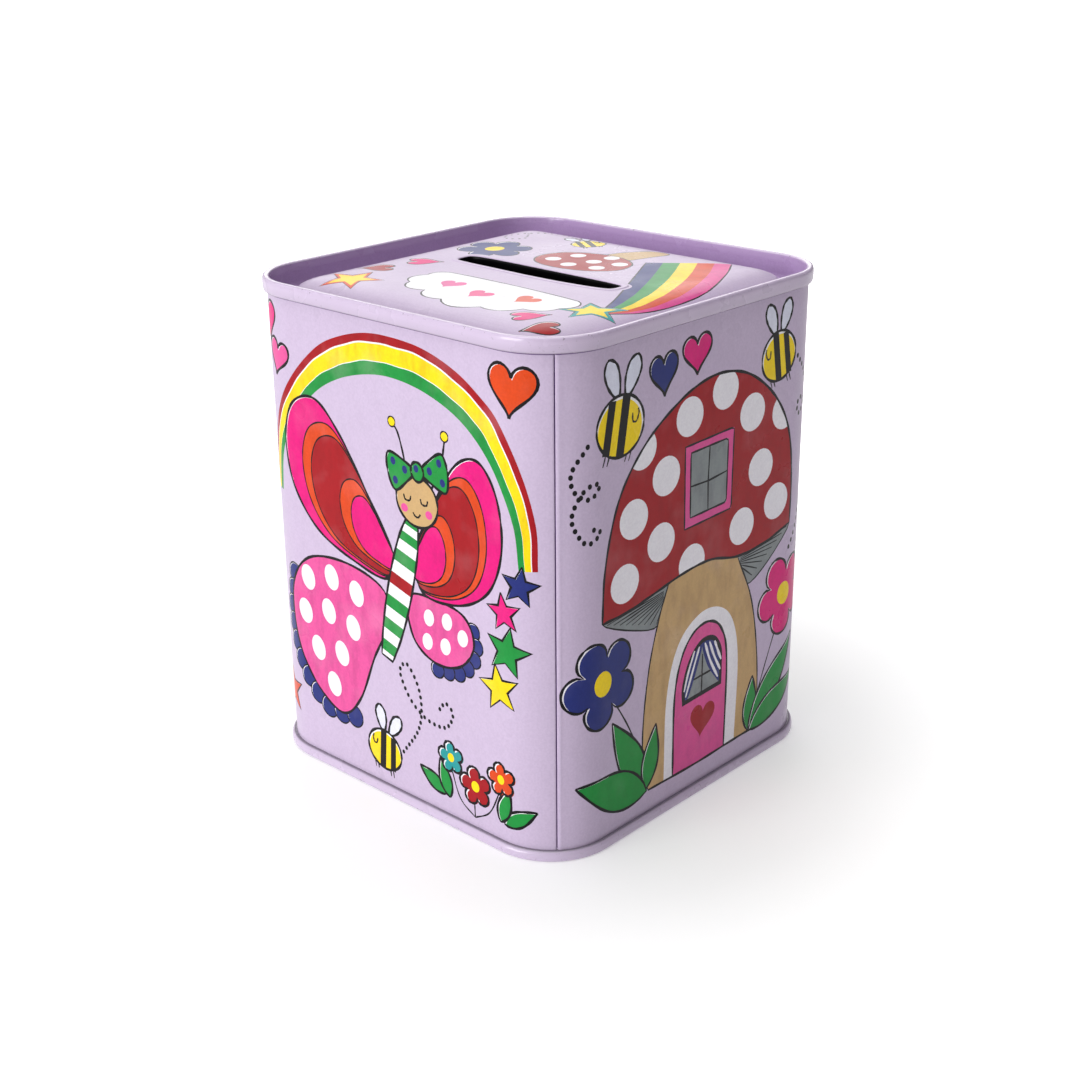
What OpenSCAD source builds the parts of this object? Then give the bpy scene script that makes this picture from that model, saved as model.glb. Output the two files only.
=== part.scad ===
// Square tin money box: a seamed tinplate body, a recessed top with a coin
// slot, a pressed base and a round pull-out stopper. Millimetres, +Z up, with
// the origin at the centre of the plane that the box stands on. The front is
// towards -Y.

/* [Body] */
// Width of the body wall, outside, along X
body_w = 85; // [70:0.5:120]
// Depth of the body wall, outside, along Y
body_d = 85; // [70:0.5:120]
// Height of the whole box
total_h = 104; // [60:0.5:160]
// Outside radius of the four upright corners
corner_r = 13.5; // [13:0.5:20]
// Thickness of the tinplate
sheet_t = 0.25; // [0.2:0.01:0.3]

/* [Seams] */
// Height of the seam that closes the top
top_seam_h = 3; // [2.4:0.1:4]
// Slack between the folded layers of the top seam
top_seam_gap = 0.05; // [0.03:0.01:0.12]
// Height of the seam that closes the base
base_seam_h = 2.2; // [2:0.1:4]
// Slack between the folded layers of the base seam
base_seam_gap = 0.12; // [0.03:0.01:0.2]
// Length of the fold that locks the upright side seam
side_fold = 2.2; // [1.5:0.1:3]
// Slack between the folded layers of the side seam
side_gap = 0.06; // [0.03:0.01:0.1]
// Place of the side seam round the front right corner, in degrees from +X
side_angle = -43; // [-55:1:-35]

/* [Top] */
// Depth of the gutter round the top panel, below the rim
gutter_depth = 5; // [4.7:0.1:8]
// Distance from the body's outer face to the edge of the raised panel
panel_inset = 6.2; // [5.5:0.1:7]
// Drop from the rim to the middle of the raised panel
panel_drop = 1; // [0.5:0.1:1.6]
// Drop from the rim to the edge of the raised panel
edge_drop = 2.4; // [1.8:0.1:2.9]
// Width of the sloping band between that edge and the middle
crown_band = 5.5; // [3:0.1:6]

/* [Coin slot] */
// Length of the opening
slot_l = 42; // [32:0.5:50]
// Width of the opening
slot_w = 5.5; // [4.6:0.1:7]
// Radius of the corners of the opening
slot_corner_r = 2; // [1:0.1:2.2]
// Depth of the edge that is turned down round the opening
slot_lip = 2; // [1.2:0.1:3]
// Width of the raised land round the opening
slot_land = 1; // [0.5:0.1:2]
// Height of the raised land round the opening
slot_rise = 0.4; // [0.3:0.05:0.8]

/* [Base] */
// Height of the base panel above the table
base_lift = 2.6; // [2.2:0.1:5]
// Step up from the base panel to the seat of the stopper
seat_step = 1.4; // [0.8:0.1:2]
// Diameter of the hole that the stopper closes
hole_d = 38; // [28:0.5:46]
// Height of the edge that is turned up round the hole
hole_lip = 2.4; // [1.6:0.1:4]

/* [Stopper] */
// Width by which the cap overlaps the seat
cap_overlap = 3.2; // [2.4:0.1:5]
// Thickness of the cap
cap_t = 1.6; // [1:0.1:2.4]
// Wall of the skirt, of the finger well and of its floor
plug_wall = 1.3; // [1:0.1:2]
// Height of the skirt above the turned-up edge of the hole
skirt_rise = 3.4; // [2.6:0.1:6]
// Play between the skirt and the hole
skirt_play = 0.4; // [0.2:0.05:0.8]
// Play between the skirt's bead and the hole
bead_play = 0.06; // [0.03:0.01:0.1]
// Play between the cap and the step round its seat
cap_play = 0.4; // [0.2:0.1:1]
// Diameter of the finger well
well_d = 25; // [18:0.5:26]
// Depth of the finger well
well_depth = 6.2; // [5:0.1:9]
// Width of the pull bar across the finger well
bar_w = 3.2; // [2:0.1:4]
// Thickness of the pull bar
bar_t = 2; // [1.4:0.1:3]

/* [Hidden] */
$fn = 96;

lilac = [0.83, 0.76, 0.88];
pale_lilac = [0.88, 0.83, 0.92];
bare_tin = [0.76, 0.76, 0.78];
white_plastic = [0.93, 0.92, 0.90];

// Bend radii are to the middle of the sheet.
crest_r = 0.45;
press_r = 0.9;
edge_r = 0.8;
flange_r = 0.6;
// Free length at the tip of a fold, so that the folded layers don't touch
tip_play = 0.1;
// Flat by which one pressed stretch of a sheet overlaps the next
lap = 0.3;

// A double seam has five layers. These are the middles of three of them,
// outwards from the body's outer face.
function wall_mid(t) = -t / 2;
function chuck_mid(t, gap) = -1.5 * t - gap;
function outer_mid(t, gap) = 2.5 * t + 3 * gap;
// Radius of a fold that wraps one layer and its slack
function fold_r(t, gap) = t + gap;
// Distances below the crest to the centres of the body's fold and the end's
function body_fold_drop(t, gap) = 1.5 * t + gap + fold_r(t, gap);
function end_fold_drop(t, gap, h) = h - t / 2 - fold_r(t, gap);
// Straight length of both hooks
function hook_len(t, gap, h) =
    end_fold_drop(t, gap, h) - body_fold_drop(t, gap) - tip_play;

// Top panel: a band slopes down from the flat middle to the panel's edge, and
// an upright riser drops from there to the gutter.
crown_fall = edge_drop - panel_drop;
riser_len = gutter_depth - edge_drop - edge_r - press_r;
gutter_run = panel_inset + chuck_mid(sheet_t, top_seam_gap)
    - lap - edge_r - 2 * press_r;
flat_inset = panel_inset + crown_band + lap;
panel_z = total_h - panel_drop - sheet_t / 2;

// Ring round the coin slot, from the opening to the flat of the panel
slot_margin = sheet_t / 2 + flange_r + slot_land + slot_rise;
lip_len = slot_lip - flange_r - sheet_t / 2;

// Base panel, with the seat and the hole of the stopper
base_z = base_lift + sheet_t / 2;
base_inset = press_r - chuck_mid(sheet_t, base_seam_gap);
hole_r = hole_d / 2;
cap_r = hole_r + cap_overlap;
seat_z = base_lift + seat_step;
seat_run = cap_r + cap_play - hole_r - sheet_t / 2 - flange_r;
seat_out_r = cap_r + cap_play + seat_step;

// Stopper
well_r = well_d / 2;
cap_z = seat_z - cap_t;
skirt_r = hole_r - skirt_play;
skirt_h = hole_lip + skirt_rise;
bead_r = 0.7;
bead_z = seat_z + hole_lip + 1.2;
cap_edge_r = 0.5;

// Side seam: its four layers stand side by side inwards from the outer face.
// Angles are counted from the seam's line, round the corner's upright axis.
layer_r = [for (i = [0:3]) corner_r - i * (sheet_t + side_gap)];
function arc_angle(length) = length / corner_r * 180 / PI;
sheet_angle = arc_angle(sheet_t);
gap_angle = arc_angle(side_gap);
hook_angle = arc_angle(side_fold);
back_angle = hook_angle + arc_angle(tip_play);
lock_low = base_lift + 2 * sheet_t;
lock_top = total_h - gutter_depth - 2 * sheet_t;

// ---- Shared sections ------------------------------------------------------

// One bend of the sheet, from the origin and heading along +X. The turn is in
// degrees, anticlockwise, and r is the radius to the middle of the sheet.
module bend(r, turn, t) {
    way = sign(turn);
    reach = 2 * (r + t);
    steps = ceil(abs(turn) / 45);
    wedge = [for (i = [0:steps])
        reach * [cos(turn * i / steps - 90 * way), sin(turn * i / steps - 90 * way)]];
    translate([0, way * r])
        intersection() {
            difference() {
                circle(r + t / 2);
                circle(r - t / 2);
            }
            polygon(concat([[0, 0]], wedge));
        }
}

// Section of a bent sheet that starts at the origin and heads along +X. Each
// step is [straight length, bend radius, turn].
module sheet_path(steps, t, i = 0) {
    if (i < len(steps)) {
        straight = steps[i][0];
        r = steps[i][1];
        turn = steps[i][2];
        if (straight > 0)
            translate([0, -t / 2])
                square([straight, t]);
        translate([straight, 0]) {
            if (turn != 0)
                bend(r, turn, t);
            translate([0, sign(turn) * r])
                rotate(turn)
                    translate([0, -sign(turn) * r])
                        sheet_path(steps, t, i + 1);
        }
    }
}

// Carries a section round an upright rounded rectangle. The section's X is the
// distance outwards from the rectangle, and its Y is height.
module carry_round(w, d, r) {
    for (side = [0:3]) {
        along = side % 2 == 0 ? w : d;
        across = side % 2 == 0 ? d : w;
        rotate(90 * side) {
            translate([along / 2 - r, -across / 2, 0])
                rotate([90, 0, -90])
                    linear_extrude(along - 2 * r)
                        children();
            translate([along / 2 - r, -across / 2 + r, 0])
                rotate(-90)
                    rotate_extrude(angle = 90)
                        translate([r, 0])
                            children();
        }
    }
}

module rounded_rect(w, d, r) {
    square([w - 2 * r, d], center = true);
    square([w, d - 2 * r], center = true);
    for (x = [-1, 1], y = [-1, 1])
        translate([x * (w / 2 - r), y * (d / 2 - r)])
            circle(r);
}

// The body's outline, drawn in by a distance all round
module inset_rect(inset) {
    rounded_rect(body_w - 2 * inset, body_d - 2 * inset, corner_r - inset);
}

// ---- Sub-parts ------------------------------------------------------------

// Section of the body wall, from its lower hook to its upper hook
module wall_section() {
    top_fold_z = total_h - body_fold_drop(sheet_t, top_seam_gap);
    low_fold_z = body_fold_drop(sheet_t, base_seam_gap);
    top_fold_r = fold_r(sheet_t, top_seam_gap);
    low_fold_r = fold_r(sheet_t, base_seam_gap);
    low_hook = hook_len(sheet_t, base_seam_gap, base_seam_h);
    translate([wall_mid(sheet_t) + 2 * low_fold_r, low_fold_z + low_hook])
        rotate(-90)
            sheet_path([
                [low_hook, low_fold_r, -180],
                [top_fold_z - low_fold_z, top_fold_r, -180],
                [hook_len(sheet_t, top_seam_gap, top_seam_h), 0, 0]
            ], sheet_t);
}

// Part of a ring round the corner's axis, between two radii and two angles
module sector(r_in, r_out, from, to) {
    reach = 3 * corner_r;
    intersection() {
        difference() {
            circle(r_out);
            circle(r_in);
        }
        polygon([
            [0, 0],
            reach * [cos(from), sin(from)],
            reach * [cos(to), sin(to)]
        ]);
    }
}

// Section of the side seam, seen from above, without the body's own outer
// layer: one edge of the sheet folds back inside, and the other edge steps in
// behind it and hooks over that fold.
module lock_section() {
    far_angle = back_angle + sheet_angle;
    sector(layer_r[2] - sheet_t, layer_r[0], -sheet_angle, 0);
    sector(layer_r[2] - sheet_t, layer_r[2], -hook_angle, 0);
    sector(layer_r[1] - sheet_t, layer_r[1], -far_angle,
           -sheet_angle - arc_angle(tip_play));
    sector(layer_r[3] - sheet_t, layer_r[1], -far_angle, -back_angle);
    sector(layer_r[3] - sheet_t, layer_r[3], -far_angle, gap_angle + sheet_angle);
    sector(layer_r[3] - sheet_t, layer_r[0], gap_angle, gap_angle + sheet_angle);
}

// Puts a shape at the side seam's corner, with +X through the seam's line
module at_side_seam() {
    translate([body_w / 2 - corner_r, corner_r - body_d / 2, 0])
        rotate(side_angle)
            children();
}

module body_wall() {
    color(lilac) {
        difference() {
            carry_round(body_w, body_d, corner_r)
                wall_section();
            at_side_seam()
                linear_extrude(total_h)
                    sector(corner_r / 2, 2 * corner_r, 0, gap_angle);
        }
        at_side_seam()
            translate([0, 0, lock_low])
                linear_extrude(lock_top - lock_low)
                    lock_section();
    }
}

// Section of the sloping band, with a lap of flat at each end
module crown_section() {
    centre = [
        [-flat_inset, 0],
        [-flat_inset + lap, 0],
        [-panel_inset, -crown_fall],
        [-panel_inset + lap, -crown_fall]
    ];
    half = [0, sheet_t / 2];
    polygon(concat(
        [for (i = [0:3]) centre[i] + half],
        [for (i = [3:-1:0]) centre[i] - half]
    ));
}

// Section of the top panel, from the edge of its flat middle to the tip of the
// hook in the top seam
module top_section() {
    wall_len = gutter_depth - press_r - crest_r;
    crest_len = outer_mid(sheet_t, top_seam_gap)
        - chuck_mid(sheet_t, top_seam_gap) - 2 * crest_r;
    outer_len = end_fold_drop(sheet_t, top_seam_gap, top_seam_h)
        - crest_r - sheet_t / 2;
    translate([0, panel_z])
        crown_section();
    translate([-panel_inset, panel_z - crown_fall])
        sheet_path([
            [lap, edge_r, -90],
            [riser_len, press_r, 90],
            [gutter_run, press_r, 90],
            [wall_len, crest_r, -90],
            [crest_len, crest_r, -90],
            [outer_len, fold_r(sheet_t, top_seam_gap), -180],
            [hook_len(sheet_t, top_seam_gap, top_seam_h), 0, 0]
        ], sheet_t);
}

// Section of the coin slot's edge, from its turned-down lip to the flat
module slot_section() {
    translate([sheet_t / 2, panel_z + slot_rise - flange_r - lip_len])
        rotate(90)
            sheet_path([
                [lip_len, flange_r, -90],
                [slot_land, slot_rise / 2, -90],
                [0, slot_rise / 2, 90],
                [lap, 0, 0]
            ], sheet_t);
}

module top_panel() {
    color(pale_lilac) {
        carry_round(body_w, body_d, corner_r)
            top_section();
        carry_round(slot_l, slot_w, slot_corner_r)
            slot_section();
        translate([0, 0, panel_z - sheet_t / 2])
            linear_extrude(sheet_t)
                difference() {
                    inset_rect(flat_inset - lap);
                    rounded_rect(slot_l + 2 * slot_margin, slot_w + 2 * slot_margin,
                                 slot_corner_r + slot_margin);
                }
    }
}

// Section of the base panel's edge, from its flat to the tip of the hook in
// the base seam
module base_section() {
    wall_len = base_lift - press_r - crest_r;
    crest_len = outer_mid(sheet_t, base_seam_gap)
        - chuck_mid(sheet_t, base_seam_gap) - 2 * crest_r;
    outer_len = end_fold_drop(sheet_t, base_seam_gap, base_seam_h)
        - crest_r - sheet_t / 2;
    translate([-base_inset - lap, base_z])
        sheet_path([
            [lap, press_r, -90],
            [wall_len, crest_r, 90],
            [crest_len, crest_r, 90],
            [outer_len, fold_r(sheet_t, base_seam_gap), 180],
            [hook_len(sheet_t, base_seam_gap, base_seam_h), 0, 0]
        ], sheet_t);
}

// Section of the stopper's seat, from the turned-up edge of the hole outwards
module seat_section() {
    translate([hole_r + sheet_t / 2, seat_z + hole_lip])
        rotate(-90)
            sheet_path([
                [hole_lip - flange_r - sheet_t / 2, flange_r, 90],
                [seat_run, seat_step / 2, -90],
                [0, seat_step / 2, 90],
                [lap, 0, 0]
            ], sheet_t);
}

module base_panel() {
    color(bare_tin) {
        carry_round(body_w, body_d, corner_r)
            base_section();
        rotate_extrude()
            seat_section();
        translate([0, 0, base_lift])
            linear_extrude(sheet_t)
                difference() {
                    inset_rect(base_inset);
                    circle(seat_out_r);
                }
    }
}

// Half section of the stopper: cap, skirt with its bead, and finger well
module stopper_section() {
    difference() {
        translate([well_r, cap_z])
            square([cap_r - well_r, cap_t]);
        translate([cap_r - cap_edge_r, cap_z])
            difference() {
                square(2 * cap_edge_r);
                translate([0, cap_edge_r])
                    circle(cap_edge_r);
                translate([-cap_edge_r, cap_edge_r])
                    square(4 * cap_edge_r);
            }
    }
    translate([skirt_r - plug_wall, cap_z])
        square([plug_wall, cap_t + skirt_h]);
    intersection() {
        translate([hole_r - bead_play - bead_r, bead_z])
            circle(bead_r);
        translate([skirt_r - plug_wall, bead_z - bead_r])
            square(2 * bead_r + plug_wall);
    }
    translate([well_r, cap_z])
        square([plug_wall, well_depth + plug_wall]);
    translate([0, cap_z + well_depth])
        square([well_r + plug_wall, plug_wall]);
}

module stopper() {
    color(white_plastic) {
        rotate_extrude()
            stopper_section();
        translate([-well_r - plug_wall / 2, -bar_w / 2, cap_z])
            cube([well_d + plug_wall, bar_w, bar_t]);
    }
}

body_wall();
top_panel();
base_panel();
stopper();
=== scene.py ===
"""The looks of a square tin money box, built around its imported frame.

Distances are in millimetres until a mesh is made. Angles are in degrees.
"""
import math

import bmesh
import bpy
import numpy as np
from bpy.props import FloatProperty, FloatVectorProperty, PointerProperty
from mathutils import Matrix, Vector
from mathutils.geometry import delaunay_2d_cdt


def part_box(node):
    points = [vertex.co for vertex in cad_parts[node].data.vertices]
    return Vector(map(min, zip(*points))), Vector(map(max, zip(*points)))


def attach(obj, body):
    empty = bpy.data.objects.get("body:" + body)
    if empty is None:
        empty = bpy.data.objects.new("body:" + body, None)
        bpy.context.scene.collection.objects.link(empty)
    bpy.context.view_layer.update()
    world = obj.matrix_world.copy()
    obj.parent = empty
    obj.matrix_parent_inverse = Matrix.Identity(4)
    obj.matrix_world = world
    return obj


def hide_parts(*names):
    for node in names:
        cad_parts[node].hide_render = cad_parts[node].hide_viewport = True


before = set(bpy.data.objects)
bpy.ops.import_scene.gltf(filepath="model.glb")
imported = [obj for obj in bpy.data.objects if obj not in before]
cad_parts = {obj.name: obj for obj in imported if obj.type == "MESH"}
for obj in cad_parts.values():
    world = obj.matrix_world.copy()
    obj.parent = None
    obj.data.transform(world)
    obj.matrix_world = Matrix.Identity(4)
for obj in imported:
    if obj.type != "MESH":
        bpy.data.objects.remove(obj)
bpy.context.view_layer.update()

bl_info = {
    "name": "Tin Money Box",
    "version": (1, 0, 0),
    "blender": (4, 5, 0),
    "location": "3D View > Sidebar > Money Box",
    "description": "Builds a printed tin money box with its seams, coin slot and stopper",
    "category": "Add Mesh",
}

MM = 0.001
BOX_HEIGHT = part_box("top_panel")[1][2] / MM
RIM_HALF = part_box("top_panel")[1][0] / MM
BASE_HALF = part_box("base_panel")[1][0] / MM
STOPPER_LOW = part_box("stopper")[0][2] / MM
STOPPER_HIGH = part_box("stopper")[1][2] / MM
CAP_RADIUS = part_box("stopper")[1][0] / MM
RIM_OUT = 0.9  # the top seam's overhang
SEAM_SHIFT = 0.47  # from the middle of the front right corner to the side seam
SEAT_RADIUS = 24.6  # where the base floor steps up to the stopper's seat


# ---------------------------------------------------------------- properties

def length(name, description, mm):
    """A length property whose default is given in millimetres."""
    return FloatProperty(name=name, description=description, default=mm * MM,
                         unit="LENGTH", precision=5)


def linear(value):
    """The scene-linear value of one display colour channel."""
    return value / 12.92 if value <= 0.04045 else ((value + 0.055) / 1.055) ** 2.4


def colour(name, description, rgb):
    """A colour property whose default is given in display values."""
    return FloatVectorProperty(name=name, description=description, subtype="COLOR",
                               size=3, min=0, max=1, default=[linear(c) for c in rgb])


class MoneyBoxSizes(bpy.types.PropertyGroup):
    """Sizes of the tinplate pieces."""
    sheet: length("Sheet", "Thickness of the tinplate", 0.25)
    corner: length("Corner", "Outside radius of the upright corners", 13.5)
    rim_out: length("Rim overhang", "How far the top seam stands out of the body", RIM_OUT)
    rim_height: length("Rim height", "Height of the top seam", 3)
    foot_out: length("Foot overhang", "How far the base seam stands out of the body",
                     BASE_HALF - RIM_HALF + RIM_OUT)
    gutter: length("Gutter", "Depth of the gutter below the rim", 5)
    panel_inset: length("Panel inset", "From the body's face to the raised panel's edge", 6.2)
    panel_drop: length("Panel drop", "From the rim to the middle of the raised panel", 1)
    edge_drop: length("Edge drop", "From the rim to the edge of the raised panel", 2.4)
    slot_length: length("Slot length", "Length of the coin slot", 42)
    slot_width: length("Slot width", "Width of the coin slot", 5.5)
    slot_lip: length("Slot lip", "Depth of the slot's turned-down edge", 2)
    base_lift: length("Base lift", "Height of the base floor above the table", 2.6)
    seat_step: length("Seat step", "Step up from the floor to the stopper's seat", 1.4)
    hole_radius: length("Hole radius", "Radius of the hole that the stopper closes", 19)
    well_radius: length("Well radius", "Radius of the stopper's finger well", 12.5)
    outline: length("Ink line", "Width of the drawn black lines", 0.58)


class MoneyBoxColours(bpy.types.PropertyGroup):
    """Colours of the inks, the coats, the painted shade and shadow, and the stopper."""
    lilac: colour("Lilac", "Ground coat of the whole box", (0.80, 0.735, 0.835))
    white: colour("White", "White ink", (0.96, 0.95, 0.97))
    black: colour("Black", "Line ink", (0.04, 0.03, 0.05))
    red: colour("Red", "Red ink", (0.65, 0.03, 0.08))
    magenta: colour("Magenta", "Magenta ink", (0.90, 0.02, 0.49))
    pink: colour("Pink", "Pink ink", (0.90, 0.33, 0.61))
    orange: colour("Orange", "Orange ink", (0.87, 0.28, 0.06))
    yellow: colour("Yellow", "Yellow ink", (1.0, 0.87, 0.02))
    green: colour("Green", "Green ink", (0.10, 0.58, 0.24))
    teal: colour("Teal", "Teal ink", (0.12, 0.60, 0.60))
    navy: colour("Navy", "Navy ink", (0.13, 0.18, 0.47))
    tan: colour("Tan", "Tan ink", (0.80, 0.66, 0.45))
    grey: colour("Grey", "Grey ink", (0.55, 0.58, 0.58))
    sky: colour("Sky", "Palest blue ink", (0.90, 0.91, 0.97))
    # Shade: painted shade, the lilac ground darkened on the gutter's outer wall and the rim's inner
    # face, where shadow falls.
    shade: colour("Shade", "Ground coat inside the rim", (0.71, 0.60, 0.77))
    # Seam: the dark line of the side seam, and the painted shadow along the wall under the top rim.
    seam: colour("Seam", "Shadowed coat in a seam", (0.38, 0.26, 0.48))
    tin: colour("Tin", "Lacquered tin inside the box", (0.62, 0.60, 0.56))
    plastic: colour("Plastic", "Stopper", (0.93, 0.92, 0.89))


def sizes():
    """The sizes in millimetres, by name."""
    group = bpy.context.scene.money_box_sizes
    return {name: getattr(group, name) / MM for name in MoneyBoxSizes.__annotations__}


def palette():
    """The colours by name, scene-linear."""
    group = bpy.context.scene.money_box_colours
    return {name: np.array(getattr(group, name)) for name in MoneyBoxColours.__annotations__}


# ------------------------------------------------------------ flat outlines

def around(count):
    """Angles once round the circle, in radians, without the repeated last one."""
    return np.arange(count) * (2 * np.pi / count)


def oval(wide, high, count=32):
    """Ellipse: half the width times the cosine, half the height times the sine."""
    t = around(count)
    return np.column_stack([wide / 2 * np.cos(t), high / 2 * np.sin(t)])


def heart(wide, high, count=44):
    """Heart curve: sine cubed across, and up a cosine less small multiples of
    the cosines of two, three and four times the angle."""
    t = around(count)
    up = 13 * np.cos(t) - 5 * np.cos(2 * t) - 2 * np.cos(3 * t) - np.cos(4 * t)
    return np.column_stack([-wide / 2 * np.sin(t) ** 3, high / 29 * (up + 2.5)])


def star(outer, inner, points=5):
    """Star: the radius alternates between its two values from corner to corner."""
    t = around(2 * points) + np.pi / 2
    r = np.where(np.arange(2 * points) % 2 == 0, outer, inner)
    return np.column_stack([r * np.cos(t), r * np.sin(t)])


def blossom(radius, petals=5, dip=0.42, count=100):
    """Flower: the radius dips between petals with the absolute cosine of half
    the petal angle."""
    t = around(count)
    r = radius * (1 - dip + dip * np.abs(np.cos(petals * t / 2)) ** 0.55)
    return np.column_stack([r * np.sin(t), r * np.cos(t)])


def leaf(long, wide, count=15):
    """Leaf from the origin up to its tip: half the width times the sine of a
    half turn, fuller near its root."""
    t = np.linspace(0, 1, count)
    half = wide / 2 * np.sin(np.pi * t ** 0.8)
    right = np.column_stack([half, long * t])
    left = np.column_stack([-half, long * t])
    return np.vstack([right, left[-2:0:-1]])


def smooth(points, closed=True, per=7):
    """Catmull-Rom curve through given points: each stretch is the cubic
    whose end slopes are half the chord between its neighbours."""
    p = np.asarray(points, float)
    if closed:
        before, here, after, later = (np.roll(p, shift, axis=0) for shift in (1, 0, -1, -2))
    else:
        ends = np.vstack([2 * p[0] - p[1], p, 2 * p[-1] - p[-2]])
        before, here, after, later = ends[:-3], ends[1:-2], ends[2:-1], ends[3:]
    t = (np.arange(per) / per)[None, :, None]
    a, b, c, d = (q[:, None, :] for q in (before, here, after, later))
    curve = 0.5 * (2 * b + (c - a) * t + (2 * a - 5 * b + 4 * c - d) * t ** 2
                   + (3 * b - a - 3 * c + d) * t ** 3)
    curve = curve.reshape(-1, 2)
    return curve if closed else np.vstack([curve, p[-1]])


def placed(outline, x, z, turn=0.0, size=1.0):
    """The outline turned anticlockwise, scaled and moved."""
    a = math.radians(turn)
    turned = outline @ np.array([[math.cos(a), math.sin(a)], [-math.sin(a), math.cos(a)]])
    return turned * size + (x, z)


def signed_area(outline):
    """Shoelace area, positive when the outline runs anticlockwise."""
    x, z = outline[:, 0], outline[:, 1]
    return 0.5 * np.sum(x * np.roll(z, -1) - z * np.roll(x, -1))


def anticlockwise(outline):
    """The outline, turned round if it runs clockwise."""
    return outline if signed_area(outline) > 0 else outline[::-1]


def side_steps(points, closed):
    """Unit normals to the left of a line, from the chord between neighbours."""
    if closed:
        chord = np.roll(points, -1, axis=0) - np.roll(points, 1, axis=0)
    else:
        chord = np.gradient(points, axis=0)
    chord /= np.maximum(np.linalg.norm(chord, axis=1, keepdims=True), 1e-9)
    return np.column_stack([-chord[:, 1], chord[:, 0]])


def grown(outline, distance):
    """The outline moved outwards by a distance along its normals."""
    outline = anticlockwise(outline)
    return outline - distance * side_steps(outline, True)


def resampled(points, step, closed=False):
    """Points at even steps along a line."""
    if closed:
        points = np.vstack([points, points[:1]])
    run = np.concatenate([[0], np.cumsum(np.linalg.norm(np.diff(points, axis=0), axis=1))])
    at = np.linspace(0, run[-1], max(2, round(run[-1] / step) + 1))
    line = np.column_stack([np.interp(at, run, points[:, 0]), np.interp(at, run, points[:, 1])])
    return line[:-1] if closed else line


# ------------------------------------------------------------------ pictures

class Picture:
    """Flat printed sheet: inks laid one over another, back to front."""

    def __init__(self, ink_line):
        self.colours = palette()
        self.line = ink_line
        self.shapes = []
        self.limits = []
        self.inks = []
        self.origin = np.zeros(2)
        self.strokes = np.random.default_rng(7)

    def ink(self, outline, name, brush=0.35, within=None):
        """Fills an outline with a colour, or only its part within another one.
        Brush says how streaky the ink is."""
        self.shapes.append(anticlockwise(np.asarray(outline, float)) + self.origin)
        self.limits.append(None if within is None else np.asarray(within) + self.origin)
        self.inks.append((*self.colours[name], brush))

    def stroke(self, points, width=None, name="black", within=None):
        """Draws a pen line whose width wavers a little along its length."""
        width = width or self.line
        points = np.asarray(points, float)
        waver = 1 + 0.16 * np.sin(np.arange(len(points)) * 1.3 + self.strokes.uniform(0, 6))
        ends = np.ones(len(points))
        ends[[0, -1]] = 0.6
        reach = (width / 2 * waver * ends)[:, None] * side_steps(points, False)
        self.ink(np.vstack([points + reach, (points - reach)[::-1]]), name, 0.1, within)

    def contour(self, outline, width=None, name="black"):
        """Draws a pen line round a closed outline, in two halves that meet."""
        half = len(outline) // 2
        self.stroke(outline[:half + 1], width, name)
        self.stroke(np.vstack([outline[half:], outline[:1]]), width, name)

    def inked(self, outline, name, slip=(0.22, -0.18), width=None, brush=0.35):
        """Fills an outline a little out of register over white, and lines it."""
        outline = anticlockwise(np.asarray(outline, float))
        self.ink(outline, "white", 0.1)
        self.ink(grown(outline, -0.12) + slip, name, brush)
        self.contour(outline, width)

    def dots(self, points, step=1.75, size=1.05):
        """Draws a dotted trail along a smooth line."""
        for x, z in resampled(smooth(points, closed=False), step):
            self.ink(placed(oval(size, size * 1.15, 9), x, z), "black", 0)

    def spots(self, places, wide, high, name="white", turn=0, within=None):
        """Lays like ovals at several places."""
        for x, z in places:
            self.ink(placed(oval(wide, high, 28), x, z, turn), name, 0.1, within)


def draw_bee(sheet, x, z, size=1.0, turn=0.0, facing=1):
    """A bee: an oval with two bands, two wings, two pairs of legs and an eye."""
    def put(outline):
        return placed(outline * (facing, 1), x, z, turn, size)
    wing = smooth([(0, 0), (-1.5, 2.6), (-1.6, 5.6), (0, 7.2), (1.6, 5.6), (1.4, 2.6)])
    for side, lean in ((-1.0, 24), (1.0, -20)):
        sheet.inked(put(placed(wing, side, 4.6, lean)), "sky", (0.1, -0.1))
    for foot in (-3.3, -2.3, 2.1, 3.1):
        sheet.stroke(put(np.array([[foot, -3.5], [foot - 0.3, -5.0], [foot - 0.7, -6.2]])), 0.42)
    body = put(oval(11.6, 10.4, 40))
    sheet.ink(body, "white", 0.1)
    sheet.ink(put(placed(oval(10.8, 9.8, 40), -0.1, -0.4)), "yellow")
    for middle, wide in ((-2.9, 1.8), (0.6, 2.0)):
        across = np.linspace(-1, 1, 8)
        reach = 5.1 * math.sqrt(1 - (middle / 5.8) ** 2)
        edge = middle + 0.5 * across
        band = np.vstack([np.column_stack([edge - wide / 2, reach * across]),
                          np.column_stack([edge + wide / 2, reach * across])[::-1]])
        sheet.ink(put(band), "black", 0.05)
    sheet.contour(body)
    sheet.stroke(put(smooth([(2.8, 1.8), (3.0, 0.4), (3.9, 0.3), (4.4, 1.6), (4.2, 2.4)], False)), 0.4)


def draw_flower(sheet, x, z, radius, name, turn=0.0, petals=5):
    """A flower with round petals and a yellow heart, a little out of register."""
    sheet.inked(placed(blossom(radius, petals), x, z, turn), name, (0.45, -0.2))
    sheet.ink(placed(oval(radius * 0.5, radius * 0.56, 24), x, z), "yellow", 0.1)


def draw_leaf(sheet, x, z, turn, long, wide):
    """A green leaf with a white sliver beside it."""
    sheet.inked(placed(leaf(long, wide), x, z, turn), "green", (0.3, -0.2))


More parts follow.
